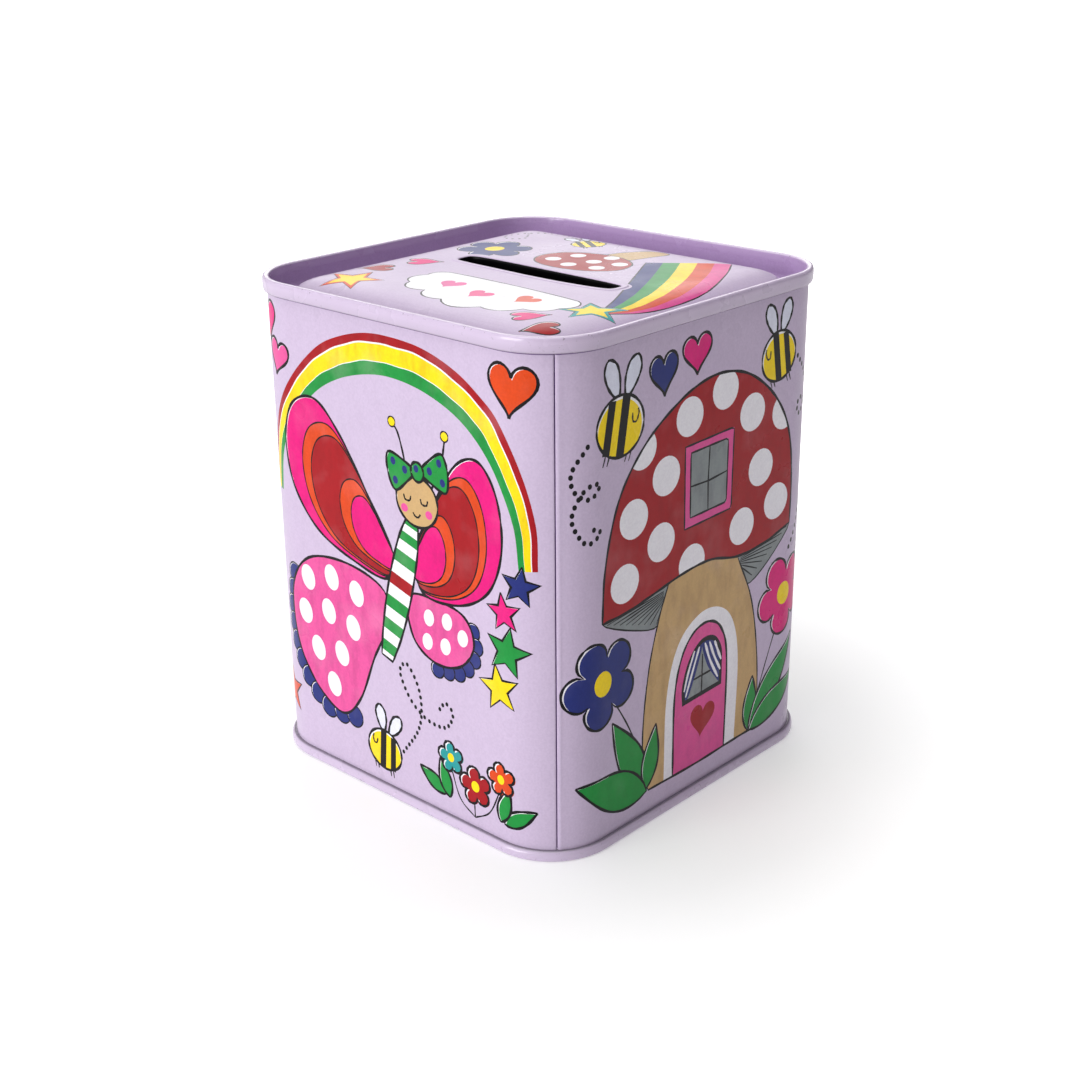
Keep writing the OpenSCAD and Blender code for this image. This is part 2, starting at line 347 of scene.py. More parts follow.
def draw_heart(sheet, x, z, wide, high, name, turn=0.0):
    """A heart with a white sliver beside its lobes."""
    sheet.inked(placed(heart(wide, high), x, z, turn), name, (0.25, -0.2))


def draw_star(sheet, x, z, outer, name, turn=0.0):
    """A star with five points."""
    sheet.inked(placed(star(outer, outer * 0.44), x, z, turn), name, (0.1, -0.1))


def draw_rainbow(sheet, outer, inner, bands):
    """A rainbow between two edges. Each band has its shares of the width at the
    feet and at the top, blended with the sine of the way along it."""
    outer = resampled(smooth(outer, False), 1.3)
    share = np.linspace(0, 1, len(outer))
    inner = smooth(inner, False, 12)
    inner = inner[np.round(share * (len(inner) - 1)).astype(int)]
    waver = 0.012 * np.sin(41 * share) + 0.008 * np.sin(97 * share + 1)
    high = np.sin(np.pi * share) ** 0.7
    for name, foot_start, foot_stop, top_start, top_stop in bands:
        edges = [foot + (top - foot) * high + waver * (0 < top < 1)
                 for foot, top in ((foot_start, top_start), (foot_stop, top_stop))]
        start, stop = (outer + (inner - outer) * edge[:, None] for edge in edges)
        sheet.ink(np.vstack([start, stop[::-1]]), name, 0.1 if name == "white" else 0.9)


RAINBOW_BANDS = (("white", 0.03, 0.97, 0.03, 0.97), ("red", 0, 0.29, 0, 0.2),
             ("yellow", 0.34, 0.66, 0.24, 0.66), ("green", 0.67, 1, 0.68, 1))


def scalloped(corners, bulges, per=8):
    """A cloud's outline: between its corners the edge bulges outwards as a half
    sine, by a share of each stretch."""
    corners = anticlockwise(np.asarray(corners, float))
    t = np.linspace(0, 1, per, endpoint=False)[:, None]
    edges = []
    for here, there, bulge in zip(corners, np.roll(corners, -1, axis=0), bulges):
        along = there - here
        out = np.array([along[1], -along[0]])
        edges.append(here + along * t + out * bulge * np.sin(np.pi * t) ** 0.75)
    return np.vstack(edges)


def draw_wing(sheet, outline, root, bands):
    """A wing and the bands inside it, each the outline shrunk to its root."""
    outline = smooth(outline)
    sheet.inked(outline, bands[0][0], (0.25, -0.2), brush=0.5)
    for name, share in bands[1:]:
        inner = np.asarray(root) + (outline - root) * share
        sheet.ink(inner, name, 0.6)
        sheet.contour(inner, 0.32)


def draw_scallops(sheet, outline, radius, name):
    """A frill: round scallops at even steps along an edge."""
    for x, z in resampled(smooth(outline, closed=False), radius * 1.55):
        sheet.inked(placed(oval(2 * radius, 2 * radius, 24), x, z), name, (0.15, -0.12), 0.34)


def draw_butterfly(sheet):
    """A large butterfly with banded upper wings and dotted, frilled lower ones."""
    draw_scallops(sheet, [(-31, 42), (-33, 33), (-30.5, 23), (-23, 14.5), (-14, 14.5)], 2.5, "navy")
    draw_scallops(sheet, [(21.6, 44.6), (22.3, 40), (18.2, 35), (11.6, 33.6)], 1.8, "navy")
    lower_left = smooth([(-3, 46), (-14, 49), (-26, 47), (-32, 39), (-31.5, 28),
                         (-26, 18.5), (-18, 14), (-12, 19), (-7, 30), (-3, 38)])
    lower_right = smooth([(4, 47), (12, 48.4), (19.4, 47), (21.8, 41.6), (18, 36.2), (11, 34.8),
                          (5, 38.5)])
    for wing in (lower_left, lower_right):
        sheet.ink(wing, "pink", 0.8)
    sheet.spots([(-26.5, 42.5), (-19, 44.5), (-11.5, 43), (-28, 34.5), (-20.5, 36.5), (-13, 35),
                 (-24.5, 27), (-17, 28), (-20, 20)], 4.2, 5.6, turn=12)
    sheet.spots([(9.6, 44), (14.6, 44.6), (18.8, 42.4), (14, 39.2), (9, 38.8)], 2.8, 3.6, turn=-10)
    for wing in (lower_left, lower_right):
        sheet.contour(wing)
    bands = (("magenta", 1.0), ("orange", 0.84), ("red", 0.76), ("orange", 0.5), ("magenta", 0.4))
    draw_wing(sheet, [(0, 55), (-7, 66), (-14, 76), (-21, 82), (-28, 80), (-31, 72), (-29, 62),
                      (-22, 54), (-11, 50), (-2, 49)], (1, 53), bands)
    draw_wing(sheet, [(7, 58), (12, 68), (18, 77), (24, 79), (28.5, 73), (29.5, 63), (26, 54),
                      (18, 49), (8, 49)], (5, 53), bands)
    for x, lean in ((4.6, 0.8), (9.4, 5.5)):
        feeler = smooth([(x + 1, 69), (x - 1 + lean, 75), (x - 3 + 1.6 * lean, 80),
                         (x - 5 + 2 * lean, 82)], False)
        sheet.stroke(feeler, 0.5)
        sheet.ink(placed(oval(2, 2, 20), *feeler[-1]), "yellow")
        sheet.contour(placed(oval(2, 2, 20), *feeler[-1]), 0.3)
    spine = smooth([(-3, 31.5), (-0.5, 40), (2, 49), (4.5, 58), (6.2, 64)], False)
    across = side_steps(spine, False)
    t = np.linspace(0, 1, len(spine))
    girth = (3.3 * np.sin(np.pi * (0.12 + 0.8 * t)) ** 0.7)[:, None]
    body = np.vstack([spine + across * girth, (spine - across * girth)[::-1]])
    sheet.ink(body, "white", 0.1)
    rungs = range(1, len(spine) - 3, 4)
    for i in rungs:
        band = slice(i, i + 3)
        stripe = np.vstack([(spine + across * girth)[band], (spine - across * girth)[band][::-1]])
        sheet.ink(stripe, "red" if i == rungs[len(rungs) // 2] else "green", 0.7)
    sheet.contour(body)
    sheet.inked(placed(oval(11.4, 10.4), 7.4, 67.4), "tan", (0.15, -0.15), brush=0.2)
    for eye in (4.8, 9.4):
        sheet.stroke(smooth([(eye - 1, 68.2), (eye - 0.6, 67.2), (eye + 0.6, 67.2), (eye + 1, 68.2)],
                            False), 0.4)
    sheet.spots([(3.9, 65.4), (10.6, 65.4)], 1.9, 1.7, "pink")
    sheet.stroke(smooth([(6.2, 65), (6.9, 64.3), (7.7, 64.3), (8.3, 65)], False), 0.4)
    draw_ribbon(sheet, 7.8, 73.4, 10, 0.82)


def draw_ribbon(sheet, x, z, turn, size):
    """A dotted ribbon bow: two rounded loops and a knot."""
    loop = smooth([(1, 0), (4, 2.6), (9, 4.6), (10.2, 0), (8.6, -4.6), (4, -2.4)], per=5)
    for side in (-1, 1):
        sheet.inked(placed(loop * (side, 1), x, z, turn, size), "green", (0.15, -0.12))
        for dx, dz in ((4.2, 0.4), (7.8, 2.4), (8.0, -2.2)):
            sheet.ink(placed(placed(oval(1.7, 2), side * dx, dz), x, z, turn, size), "navy", 0.1)
    sheet.inked(placed(oval(4.2, 4.8), x, z, turn, size), "green", (0.12, -0.1))
    sheet.ink(placed(oval(1.3, 1.5), x - 0.3, z + 0.6), "navy", 0.1)


def draw_front(sheet):
    """Front: a rainbow, a butterfly, falling stars, a heart, a bee and small flowers."""
    draw_rainbow(sheet, [(-38.3, 60), (-36.8, 68), (-33.3, 77.4), (-27.5, 85.8), (-19.8, 92.7),
                     (-13, 96), (-5.4, 98), (2, 98.4), (10.3, 97.7), (18.4, 95.2), (24.6, 91.6),
                     (29.4, 87.4), (33.9, 78.8), (36.6, 69), (36.9, 60.3)],
             [(-34, 59.8), (-32.4, 68.2), (-27.8, 76.5), (-20.8, 83.4), (-13.8, 87.4), (-6, 89.8),
              (1.5, 90.6), (9.9, 89.6), (18, 86.8), (24, 82.6), (28.8, 76.6), (32.2, 68.5),
              (33.2, 60)], RAINBOW_BANDS)
    draw_heart(sheet, 32.0, 93.6, 10.2, 9.8, "orange", -4)
    draw_heart(sheet, -36.4, 95.2, 8.6, 8.4, "magenta", 6)
    draw_heart(sheet, -32.4, 88.3, 7.4, 7.6, "pink", -14)
    draw_butterfly(sheet)
    for x, z, outer, name, turn in ((33.3, 56.9, 4.1, "navy", -8), (29.6, 50.9, 4.1, "magenta", 8),
                                    (30.3, 43.1, 5.3, "green", -10), (28.1, 34.9, 5.1, "yellow", 10),
                                    (-36.5, 13.5, 5.6, "orange", 8)):
        draw_star(sheet, x, z, outer, name, turn)
    draw_bee(sheet, -5.0, 9.9, 0.86, -10, -1)
    sheet.dots([(0.7, 11.5), (5.2, 17.7), (6.5, 22.9), (5.7, 28), (2.7, 31.9), (0.6, 29.5),
                (3.4, 24.3), (8, 21.4), (13.3, 21.4), (15.5, 25), (13.5, 26.8), (11.8, 25)], 1.45, 0.85)
    for x, z, turn in ((13, 6.4, 62), (14, 6, 18), (29, 6, -60), (28, 6, -16)):
        draw_leaf(sheet, x, z, turn, 8.5, 3.4)
    for x, z, radius, name in ((14.5, 15.2, 3.5, "teal"), (21.2, 11.2, 4.3, "red"),
                               (28.2, 15.4, 3.6, "orange")):
        sheet.stroke(smooth([(21, 4.2), (0.6 * x + 8.2, 7), (x, z - 2)], False), 0.34)
        draw_flower(sheet, x, z, radius, name, 10)


def draw_toadstool(sheet):
    """A spotted toadstool with a window, an arched door and gills."""
    cap_top = smooth([(-29.4, 48), (-28.8, 58), (-26.4, 67.8), (-23, 74.4), (-17.3, 80.4),
                      (-10.4, 84.8), (-2.8, 87.9), (5.2, 88.9), (13.6, 87), (21.4, 82), (26.8, 75.6),
                      (29.4, 68.6), (30.4, 60), (30.4, 51.2)], False)
    cap_under = smooth([(30.4, 51.2), (22, 49.3), (12.4, 49), (3.5, 51), (-5, 50.8), (-14, 49.4),
                        (-22, 48.2), (-29.4, 48)], False)
    for gill in ([(-29.4, 48), (-20, 48.6), (-10, 50), (-12.6, 42.4), (-20, 43.6)],
                 [(30.4, 51.2), (21, 49.6), (12, 48.6), (15.5, 41.8), (23, 44.6)]):
        gill = smooth(gill, per=4)
        sheet.ink(gill, "grey", 0.7)
        sheet.contour(gill, 0.34)
    for i in range(9):
        share = i / 8
        for root, left, right in (((-11.3, 46.5), (-28, 47.4), (-13.5, 42.6)),
                                  ((13.4, 46.2), (29.4, 50.6), (16, 42.1))):
            end = np.array(left) * (1 - share) + np.array(right) * share
            start = np.array(root) + (0, 2.4 * (1 - share))
            sheet.stroke(np.linspace(start, end, 4), 0.3)
    stem = smooth([(-9.6, 50.6), (-12.6, 43.6), (-15.4, 34), (-17, 22), (-16.8, 13), (-15.2, 7)],
                  False)
    stem_right = smooth([(20.6, 7), (21.2, 15.5), (20.2, 27), (17.6, 38.4), (12.6, 48.6)], False)
    stem_all = np.vstack([stem, stem_right, [[3.5, 52.5]]])
    sheet.ink(stem_all, "tan", 0.8)
    sheet.stroke(stem, 0.42)
    sheet.stroke(stem_right, 0.42)
    cap = np.vstack([cap_top, cap_under[1:-1]])
    sheet.ink(cap, "red", 0.55)
    sheet.spots([(-4.4, 82.4), (6.6, 85.2), (15.7, 78.6), (26.6, 76.4), (-18.4, 79.4), (-11.2, 72.4),
                 (19.2, 66.2), (-20.6, 66.4), (-12.4, 59.4), (13.4, 55.2), (25, 57.4), (-23, 54.2),
                 (-2.7, 52.2)], 8.2, 7.8, turn=-8, within=cap)
    sheet.stroke(cap_top)
    sheet.stroke(cap_under)
    frame_out = np.array([(-5.3, 59.8), (9.6, 60.2), (9.8, 77), (-5.6, 76.6)])
    frame_in = np.array([(-3.6, 61.8), (7.9, 62), (8, 75.2), (-3.8, 75)])
    sheet.ink(frame_out, "pink", 0.3)
    sheet.ink(frame_in, "grey", 0.9)
    for corner in (frame_out, frame_in):
        loop = resampled(corner, 1.2, closed=True)
        sheet.contour(loop, 0.42)
    sheet.stroke(resampled(np.array([(2, 61.9), (1.8, 68), (2.1, 75.1)]), 1.5), 0.42)
    sheet.stroke(resampled(np.array([(-3.6, 68.2), (2, 68), (7.9, 68.5)]), 1.5), 0.42)
    sheet.ink(smooth([(-10.2, 6.8), (-9.8, 25), (-6.5, 35.6), (0, 40.2), (6.6, 39.8), (11.5, 35.3),
                      (13.8, 25.6), (13.4, 6.9)], False), "white", 0.2)
    door = smooth([(-7.3, 6.7), (-7.2, 24), (-5.2, 32.4), (-1.4, 36.8), (3.6, 37.6), (7.8, 34.6),
                   (9.9, 27), (9.8, 6.9)], False)
    sheet.ink(door, "pink", 0.5)
    sheet.stroke(door, 0.6)
    pane = smooth([(-4.7, 21.5), (-4.8, 26), (-2.6, 31.4), (1.2, 34.4), (5.4, 33.9), (8, 30.4),
                   (8.3, 26), (8.3, 21.9)], False)
    glass = np.array((1.8, 28)) + (pane - (1.8, 28)) * (0.86, 0.84)
    sheet.ink(pane, "black", 0.05)
    sheet.ink(glass, "grey", 0.9)
    for bar in ([(1.6, 22), (1.7, 31)], [(-3, 26.2), (7, 26.4)]):
        sheet.stroke(resampled(np.array(bar, float), 2), 0.45)
    left = smooth([(1.5, 34), (-2.4, 32.6), (-4.4, 28), (-4.3, 22.4), (-2.7, 23), (0.2, 29)])
    right = smooth([(1.5, 34), (6, 33.4), (8, 29.6), (8.1, 22.8), (6, 24.4), (3, 28.6)])
    for curtain, folds in ((left, ([(0.6, 33), (-1.4, 28.4), (-3.6, 23.2)],
                                   [(-1, 32.6), (-2.9, 28.4), (-4.1, 24.6)])),
                           (right, ([(2.4, 33.2), (4.2, 28.8), (7, 24)],
                                    [(3.9, 33), (5.5, 29.4), (7.8, 25.4)],
                                    [(5.6, 32.6), (6.8, 30), (8, 27.6)]))):
        sheet.ink(curtain, "navy", 0.2, within=glass)
        for fold in folds:
            sheet.stroke(smooth(fold, False, 4), 0.62, "white", within=curtain)
    sheet.ink(placed(heart(8.2, 7.6), 2.0, 15.9, -8), "red", 0.6)
    ground = smooth([(-15.2, 6.9), (0, 6.6), (12, 6.9), (20.6, 7)], False)
    sheet.stroke(ground)


def draw_right(sheet):
    """Right side: a toadstool house between two flowers, with bees and hearts."""
    draw_toadstool(sheet)
    draw_bee(sheet, -24.6, 85.4, 1.12, -4)
    draw_bee(sheet, 23.9, 88.3, 0.98, 4, -1)
    sheet.dots([(-33, 83.4), (-36.2, 79), (-35.6, 75.2), (-32.4, 73.4), (-30.2, 75.8), (-33.2, 75.6),
                (-35.6, 72.4), (-36, 69), (-33.2, 64.9), (-30, 66.4), (-31.6, 67.4)], 1.6, 0.95)
    sheet.dots([(30.6, 87), (34.4, 83), (36, 78.4), (33, 74.4), (31.2, 76.6), (34.4, 77.4),
                (37.4, 71), (37.2, 60), (34.4, 51), (30.6, 45.6)], 1.6, 0.95)
    draw_heart(sheet, -12.4, 92.2, 8.2, 8.2, "navy", 4)
    draw_heart(sheet, -2.6, 94.0, 8.8, 7.8, "magenta", 2)
    sheet.stroke(smooth([(-26, 31), (-21.3, 23.3), (-17.6, 15.3), (-15.5, 7.3)], False), 0.38)
    sheet.stroke(smooth([(27.4, 29), (23.3, 19.8), (20.8, 13.7), (18.4, 7.1)], False), 0.38)
    for x, z, turn, long, wide in ((-15.8, 7.2, 29, 21.8, 7), (-15.9, 7.4, -12, 14, 5),
                                   (-15.6, 7.0, 68, 21.5, 8.4), (18.2, 7.2, -5, 12.6, 4.6),
                                   (18.4, 7.2, -42, 24, 6.4), (18.6, 7.1, -66, 20, 6)):
        draw_leaf(sheet, x, z, turn, long, wide)
    draw_flower(sheet, -29.0, 35.6, 9.4, "navy", 26)
    draw_flower(sheet, 29.4, 35.5, 9.2, "magenta", 30)


def draw_back(sheet):
    """Back: a rainbow between two clouds, falling hearts and a row of flowers."""
    draw_rainbow(sheet, [(-36, 53), (-34.6, 66), (-29, 80), (-18, 91), (0, 96), (18, 91), (29, 80),
                     (34.6, 66), (36, 53)],
             [(-31.4, 53), (-29.8, 64.4), (-24.4, 75.4), (-14.6, 84), (0, 88), (14.6, 84),
              (24.4, 75.4), (29.8, 64.4), (31.4, 53)], RAINBOW_BANDS)
    for x in (-31, 31):
        cloud = scalloped([(-9, -4), (9, -4), (10.4, 2), (4.6, 5.6), (-4, 6), (-10.4, 2)],
                          (0.05, 0.4, 0.34, 0.34, 0.34, 0.4))
        sheet.inked(placed(cloud, x, 51), "white", (0.3, -0.3))
    for x, z, wide, name, turn in ((-15, 76, 7, "red", 10), (0, 81, 8, "magenta", -6),
                                   (15, 75, 7, "orange", -14), (-8, 69.5, 6, "pink", 14),
                                   (9, 69, 6, "navy", 4), (-33, 93, 8, "green", 12),
                                   (33, 92, 8, "pink", -10)):
        draw_heart(sheet, x, z, wide, wide * 0.98, name, turn)
    for x, high, radius, name in ((-29, 27, 6.6, "magenta"), (-15, 20, 5.6, "yellow"),
                                  (0, 31, 7.4, "navy"), (15, 20, 5.6, "red"), (29, 27, 6.6, "orange")):
        sheet.stroke(smooth([(x, high - 3), (x + 1.2, high / 2), (x, 5)], False), 0.4)
        draw_leaf(sheet, x, 5.5, 38, 13, 5)
        draw_leaf(sheet, x, 5.5, -38, 13, 5)
        draw_flower(sheet, x, high, radius, name, x)
    draw_bee(sheet, -33, 62, 0.9, 6)
    sheet.dots([(-39, 60), (-43, 55), (-42, 48), (-38, 46), (-37, 50), (-41, 51), (-44, 42)])
    draw_bee(sheet, 32, 40, 0.8, -6, -1)


def draw_left(sheet):
    """Left side: three toadstools under stars, hearts and a bee."""
    for x, foot, size, name in ((-14, 6, 1.0, "red"), (16, 6, 1.22, "magenta"), (2, 6, 0.7, "orange")):
        stem = smooth([(-4.5, 0), (-5.4, 10), (-3.8, 24), (4, 24), (5.6, 10), (4.6, 0)], per=6)
        sheet.inked(placed(stem, x, foot, 0, size), "tan", (0.2, -0.1))
        cap = smooth([(-17, 19), (-16, 30), (-9, 39), (0, 42), (9, 39), (16, 30), (17, 19), (9, 20.5),
                      (0, 21), (-9, 20.5)])
        sheet.inked(placed(cap, x, foot, 0, size), name, (0.2, -0.15), brush=0.5)
        sheet.spots([np.array((x, foot)) + size * np.array(p) for p in
                     ((0, 35), (-9, 30), (9, 30), (-3.5, 26), (6, 24.5), (-12, 23.5), (13.5, 24.5))],
                    4.2 * size, 4.6 * size)
    for x, z, outer, name, turn in ((-20, 78, 5.4, "yellow", 8), (4, 86, 6, "green", -8),
                                    (24, 76, 5, "navy", 12), (-6, 66, 4.4, "orange", 0),
                                    (28, 94, 4, "magenta", 5), (-31, 60, 4, "teal", -12)):
        draw_star(sheet, x, z, outer, name, turn)
    for x, z, wide, name, turn in ((-8, 92, 8, "magenta", -8), (15, 66, 7, "red", 10),
                                   (-28, 90, 7.4, "orange", 6)):
        draw_heart(sheet, x, z, wide, wide, name, turn)
    draw_bee(sheet, 30, 62, 0.95, 4, -1)
    sheet.dots([(36, 61), (40, 56), (37, 51), (33, 52), (35, 56), (41, 50), (40, 42)])
    draw_leaf(sheet, -30, 6, 24, 14, 5)
    draw_leaf(sheet, -30, 6, -24, 16, 5)
    draw_flower(sheet, -30, 27, 6.4, "navy", 20)
    sheet.stroke(smooth([(-30, 23), (-29, 14), (-30, 6)], False), 0.4)


def draw_top(sheet):
    """Top: a blank cloud, hearts, stars, a flower, a bee, a toadstool and a tail
    of colours behind a star."""
    bands = ("navy", "green", "yellow", "orange", "pink")
    left = smooth([(30.6, -18), (29.3, -13.4), (25.7, -5.9), (18.6, 6.9), (10.8, 20.8)], False)
    right = smooth([(32, -17), (34.6, -10), (35.4, -1), (34.2, 10.8), (30, 22.4), (24.8, 31.4)], False)
    left, right = (line[np.linspace(0, len(line) - 1, 24).astype(int)] for line in (left, right))
    edges = [left + (right - left) * share for share in np.linspace(0, 1, len(bands) + 1)]
    for name, low, high in zip(bands, edges, edges[1:]):
        sheet.ink(np.vstack([low, high[::-1]]), name, 0.6)
    sheet.stroke(left, 0.32)
    sheet.stroke(right, 0.32)
    sheet.inked(placed(star(7.4, 3.2) * (1, 0.8), 29.0, -17.2, 43), "teal", (0.1, -0.1), brush=0.3)
    sheet.ink(placed(star(5.0, 2.3) * (1, 0.8), 29.0, -17.2, 43), "yellow", 0.3)
    cloud = scalloped([(-13, -11.6), (22.5, -13.4), (23.6, -20), (18.6, -24.4), (11.4, -28.4),
                       (1.4, -28.8), (-6.4, -25.6), (-13.8, -22.6), (-15.6, -16)],
                      (0.28, 0.28, 0.24, 0.26, 0.26, 0.26, 0.3, 0.02, 0.28))
    sheet.inked(cloud, "white", (0.2, -0.2), brush=0.3)
    for x, y, name, turn in ((-6, -19, "pink", 8), (4, -21.5, "magenta", -6), (14, -19, "orange", -12)):
        sheet.ink(placed(heart(5.6, 5.4), x, y, turn), name, 0.5)
    draw_star(sheet, -24.6, -28.2, 6.8, "orange", 10)
    sheet.ink(placed(star(5.0, 2.3), -24.6, -28.2, 10), "yellow", 0.3)
    for x, y, name, turn in ((-28.4, -18.4, "red", -50), (-24.7, -7.6, "magenta", 125),
                             (23.2, -27.0, "magenta", 140), (29.4, -31.8, "red", -47)):
        draw_heart(sheet, x, y, 5.8, 7.6, name, turn)
    draw_flower(sheet, -22.8, 10.8, 8.0, "navy", 12, 6)
    draw_bee(sheet, -10.6, 27.4, 0.66, 62)
    cap = smooth([(-1.5, 5.6), (-8, 7.4), (-10.8, 12.4), (-8.6, 18), (-2, 21), (4.8, 20.8), (10, 17.4),
                  (11, 11.4), (6.2, 7)])
    stem = smooth([(0, 19), (0.8, 25), (5.4, 30.6), (9.6, 30), (8.4, 25.4), (5.6, 18)])
    sheet.inked(stem, "tan", (0.1, -0.1), brush=0.3)
    sheet.inked(cap, "red", (0.15, -0.1), brush=0.3)
    sheet.spots([(-6.4, 11.4), (-4.4, 17), (-0.4, 9.4), (2, 14.6), (6.2, 10.6), (7.8, 16), (2.6, 19.6)],
                3.4, 3.4, within=cap)
    sheet.dots([(-15.4, 30), (-21, 31.4), (-27, 29), (-30.6, 23), (-28, 20.4), (-25.4, 23), (-28, 27)],
               1.5, 0.6)


# -------------------------------------------------------------------- meshes

def wall_place(run, out, size):
    """Plan of the body wall. The run goes anticlockwise from the middle of the
    front, along a flat half side, round a corner by its arc and along the next
    half side, four times over. Out is the distance outside the wall."""
    half = RIM_HALF - size["rim_out"]
    flat = half - size["corner"]
    arc = size["corner"] * np.pi / 2
    quarter = 2 * flat + arc
    side = np.floor(run / quarter)
    along = run - side * quarter
    turn = np.clip((along - flat) / size["corner"], 0, np.pi / 2)
    start = np.minimum(along, flat)
    after = np.maximum(along - flat - arc, 0)
    x = start + (size["corner"] + out) * np.sin(turn)
    y = -flat - (size["corner"] + out) * np.cos(turn) + after
    angle = side * np.pi / 2
    return np.stack([x * np.cos(angle) - y * np.sin(angle),
                     x * np.sin(angle) + y * np.cos(angle)], axis=-1)


def quarter_run(size):
    """Length of the wall from the middle of one side to the middle of the next."""
    flat = RIM_HALF - size["rim_out"] - size["corner"]
    return 2 * flat + size["corner"] * np.pi / 2


def corner_runs(size, step):
    """Runs at which the wall bends, at even steps round the four corners."""
    flat = RIM_HALF - size["rim_out"] - size["corner"]
    arc = size["corner"] * np.pi / 2
    steps = np.linspace(0, arc, round(arc / step) + 1)
    return np.concatenate([flat + steps + side * quarter_run(size) for side in range(4)])


def rounded_loop(half_x, half_y, radius, corner_steps=14):
    """Rounded rectangle in plan: quarter circles about four centres, joined by
    straight sides. Returns its points and its outward directions."""
    turn = np.linspace(0, np.pi / 2, corner_steps + 1)
    angles = np.concatenate([turn + side * np.pi / 2 for side in range(4)])
    sign_x = np.repeat([1, -1, -1, 1], corner_steps + 1)
    sign_y = np.repeat([1, 1, -1, -1], corner_steps + 1)
    out = np.column_stack([np.cos(angles), np.sin(angles)])
    centre = np.column_stack([sign_x * (half_x - radius), sign_y * (half_y - radius)])
    return centre + radius * out, out


def filleted(corners, steps=6):
    """A line with rounded corners: each corner (x, z, radius) becomes an arc
    that touches both of its sides."""
    points = []
    for i, (x, z, radius) in enumerate(corners):
        here = np.array([x, z], float)
        if radius == 0 or i in (0, len(corners) - 1):
            points.append(here[None])
            continue
        back = np.array(corners[i - 1][:2]) - here
        ahead = np.array(corners[i + 1][:2]) - here
        back /= np.linalg.norm(back)
        ahead /= np.linalg.norm(ahead)
        half_turn = math.acos(np.clip(back @ ahead, -1, 1)) / 2
        middle = here + (back + ahead) / np.linalg.norm(back + ahead) * radius / math.sin(half_turn)
        first = here + back * radius / math.tan(half_turn) - middle
        last = here + ahead * radius / math.tan(half_turn) - middle
        sweep = np.pi - 2 * half_turn
        t = np.linspace(0, 1, steps + 1)[:, None]
        arc = (np.sin((1 - t) * sweep) * first + np.sin(t * sweep) * last) / math.sin(sweep)
        points.append(middle + arc)
    return np.vstack(points)


def sheet_edges(middle, thick):
    """The two faces of a bent sheet, half its thickness to each side of its
    middle line: the left face in order, and the right face in order."""
    reach = thick / 2 * side_steps(middle, False)
    return middle + reach, middle - reach


def carried(loop, out, profile):
    """Profile carried round a loop: each point is the loop's point plus its
    outward direction times the profile's first value, at its second value."""
    plan = loop[:, None, :] + out[:, None, :] * profile[None, :, :1]
    high = np.broadcast_to(profile[None, :, 1:], (len(loop), len(profile), 1))
    return np.concatenate([plan, high], axis=2)


def grid_faces(rows, columns, close_rows=True, close_columns=False):
    """Four-cornered faces of a grid of points, row by row."""
    i = np.arange(rows if close_rows else rows - 1)
    j = np.arange(columns if close_columns else columns - 1)
    i, j = (a.ravel() for a in np.meshgrid(i, j, indexing="ij"))
    i2, j2 = (i + 1) % rows, (j + 1) % columns
    return np.column_stack([i * columns + j, i2 * columns + j, i2 * columns + j2, i * columns + j2])


def holds(outline, points):
    """Which points lie inside an outline, by its winding number."""
    x, z = points[:, :1], points[:, 1:]
    ax, az = outline.T
    bx, bz = np.roll(outline, -1, axis=0).T
    left = (bx - ax) * (z - az) - (x - ax) * (bz - az)
    rising = (az <= z) & (bz > z) & (left > 0)
    falling = (az > z) & (bz <= z) & (left < 0)
    return rising.sum(axis=1) != falling.sum(axis=1)


def cut_sheet(sheet, shapes, limits=(), rings=(), lines=(), holes=()):
    """Triangles of a flat sheet cut along every outline. Returns the points, the
    triangles and, for each triangle, the number of the last shape over it."""
    loops = [sheet, *holes, *rings, *shapes]
    starts = np.cumsum([0] + [len(loop) for loop in loops])
    edges = [np.column_stack([np.arange(a, b), np.roll(np.arange(a, b), -1)])
             for a, b in zip(starts, starts[1:])]
    edges.append(starts[-1] + np.arange(2 * len(lines)).reshape(-1, 2))
    flat = np.vstack([*loops, *[np.asarray(line, float) for line in lines]])
    found = delaunay_2d_cdt([Vector(p) for p in flat.tolist()], np.vstack(edges).tolist(), [],
                            0, 1e-5, False)
    points = np.array([tuple(p) for p in found[0]])
    triangles = np.array(found[2])
    middles = points[triangles].mean(axis=1)
    kept = holds(sheet, middles)
    for hole in holes:
        kept &= ~holds(hole, middles)
    triangles, middles = triangles[kept], middles[kept]
    top = np.full(len(triangles), -1)
    for number, (shape, limit) in enumerate(zip(shapes, limits)):
        low, high = shape.min(axis=0), shape.max(axis=0)
        near = np.nonzero(((middles >= low) & (middles <= high)).all(axis=1))[0]
        near = near[holds(shape, middles[near])]
        if limit is not None:
            near = near[holds(limit, middles[near])]
        top[near] = number
    used, triangles = np.unique(triangles, return_inverse=True)
    return points[used], triangles.reshape(-1, 3), top


def border(triangles):
    """Edges that only one triangle has, in the direction of that triangle."""
    edges = np.vstack([triangles[:, [0, 1]], triangles[:, [1, 2]], triangles[:, [2, 0]]])
    _, first, count = np.unique(np.sort(edges, axis=1), axis=0, return_index=True,
                                return_counts=True)
    return edges[first[count == 1]]


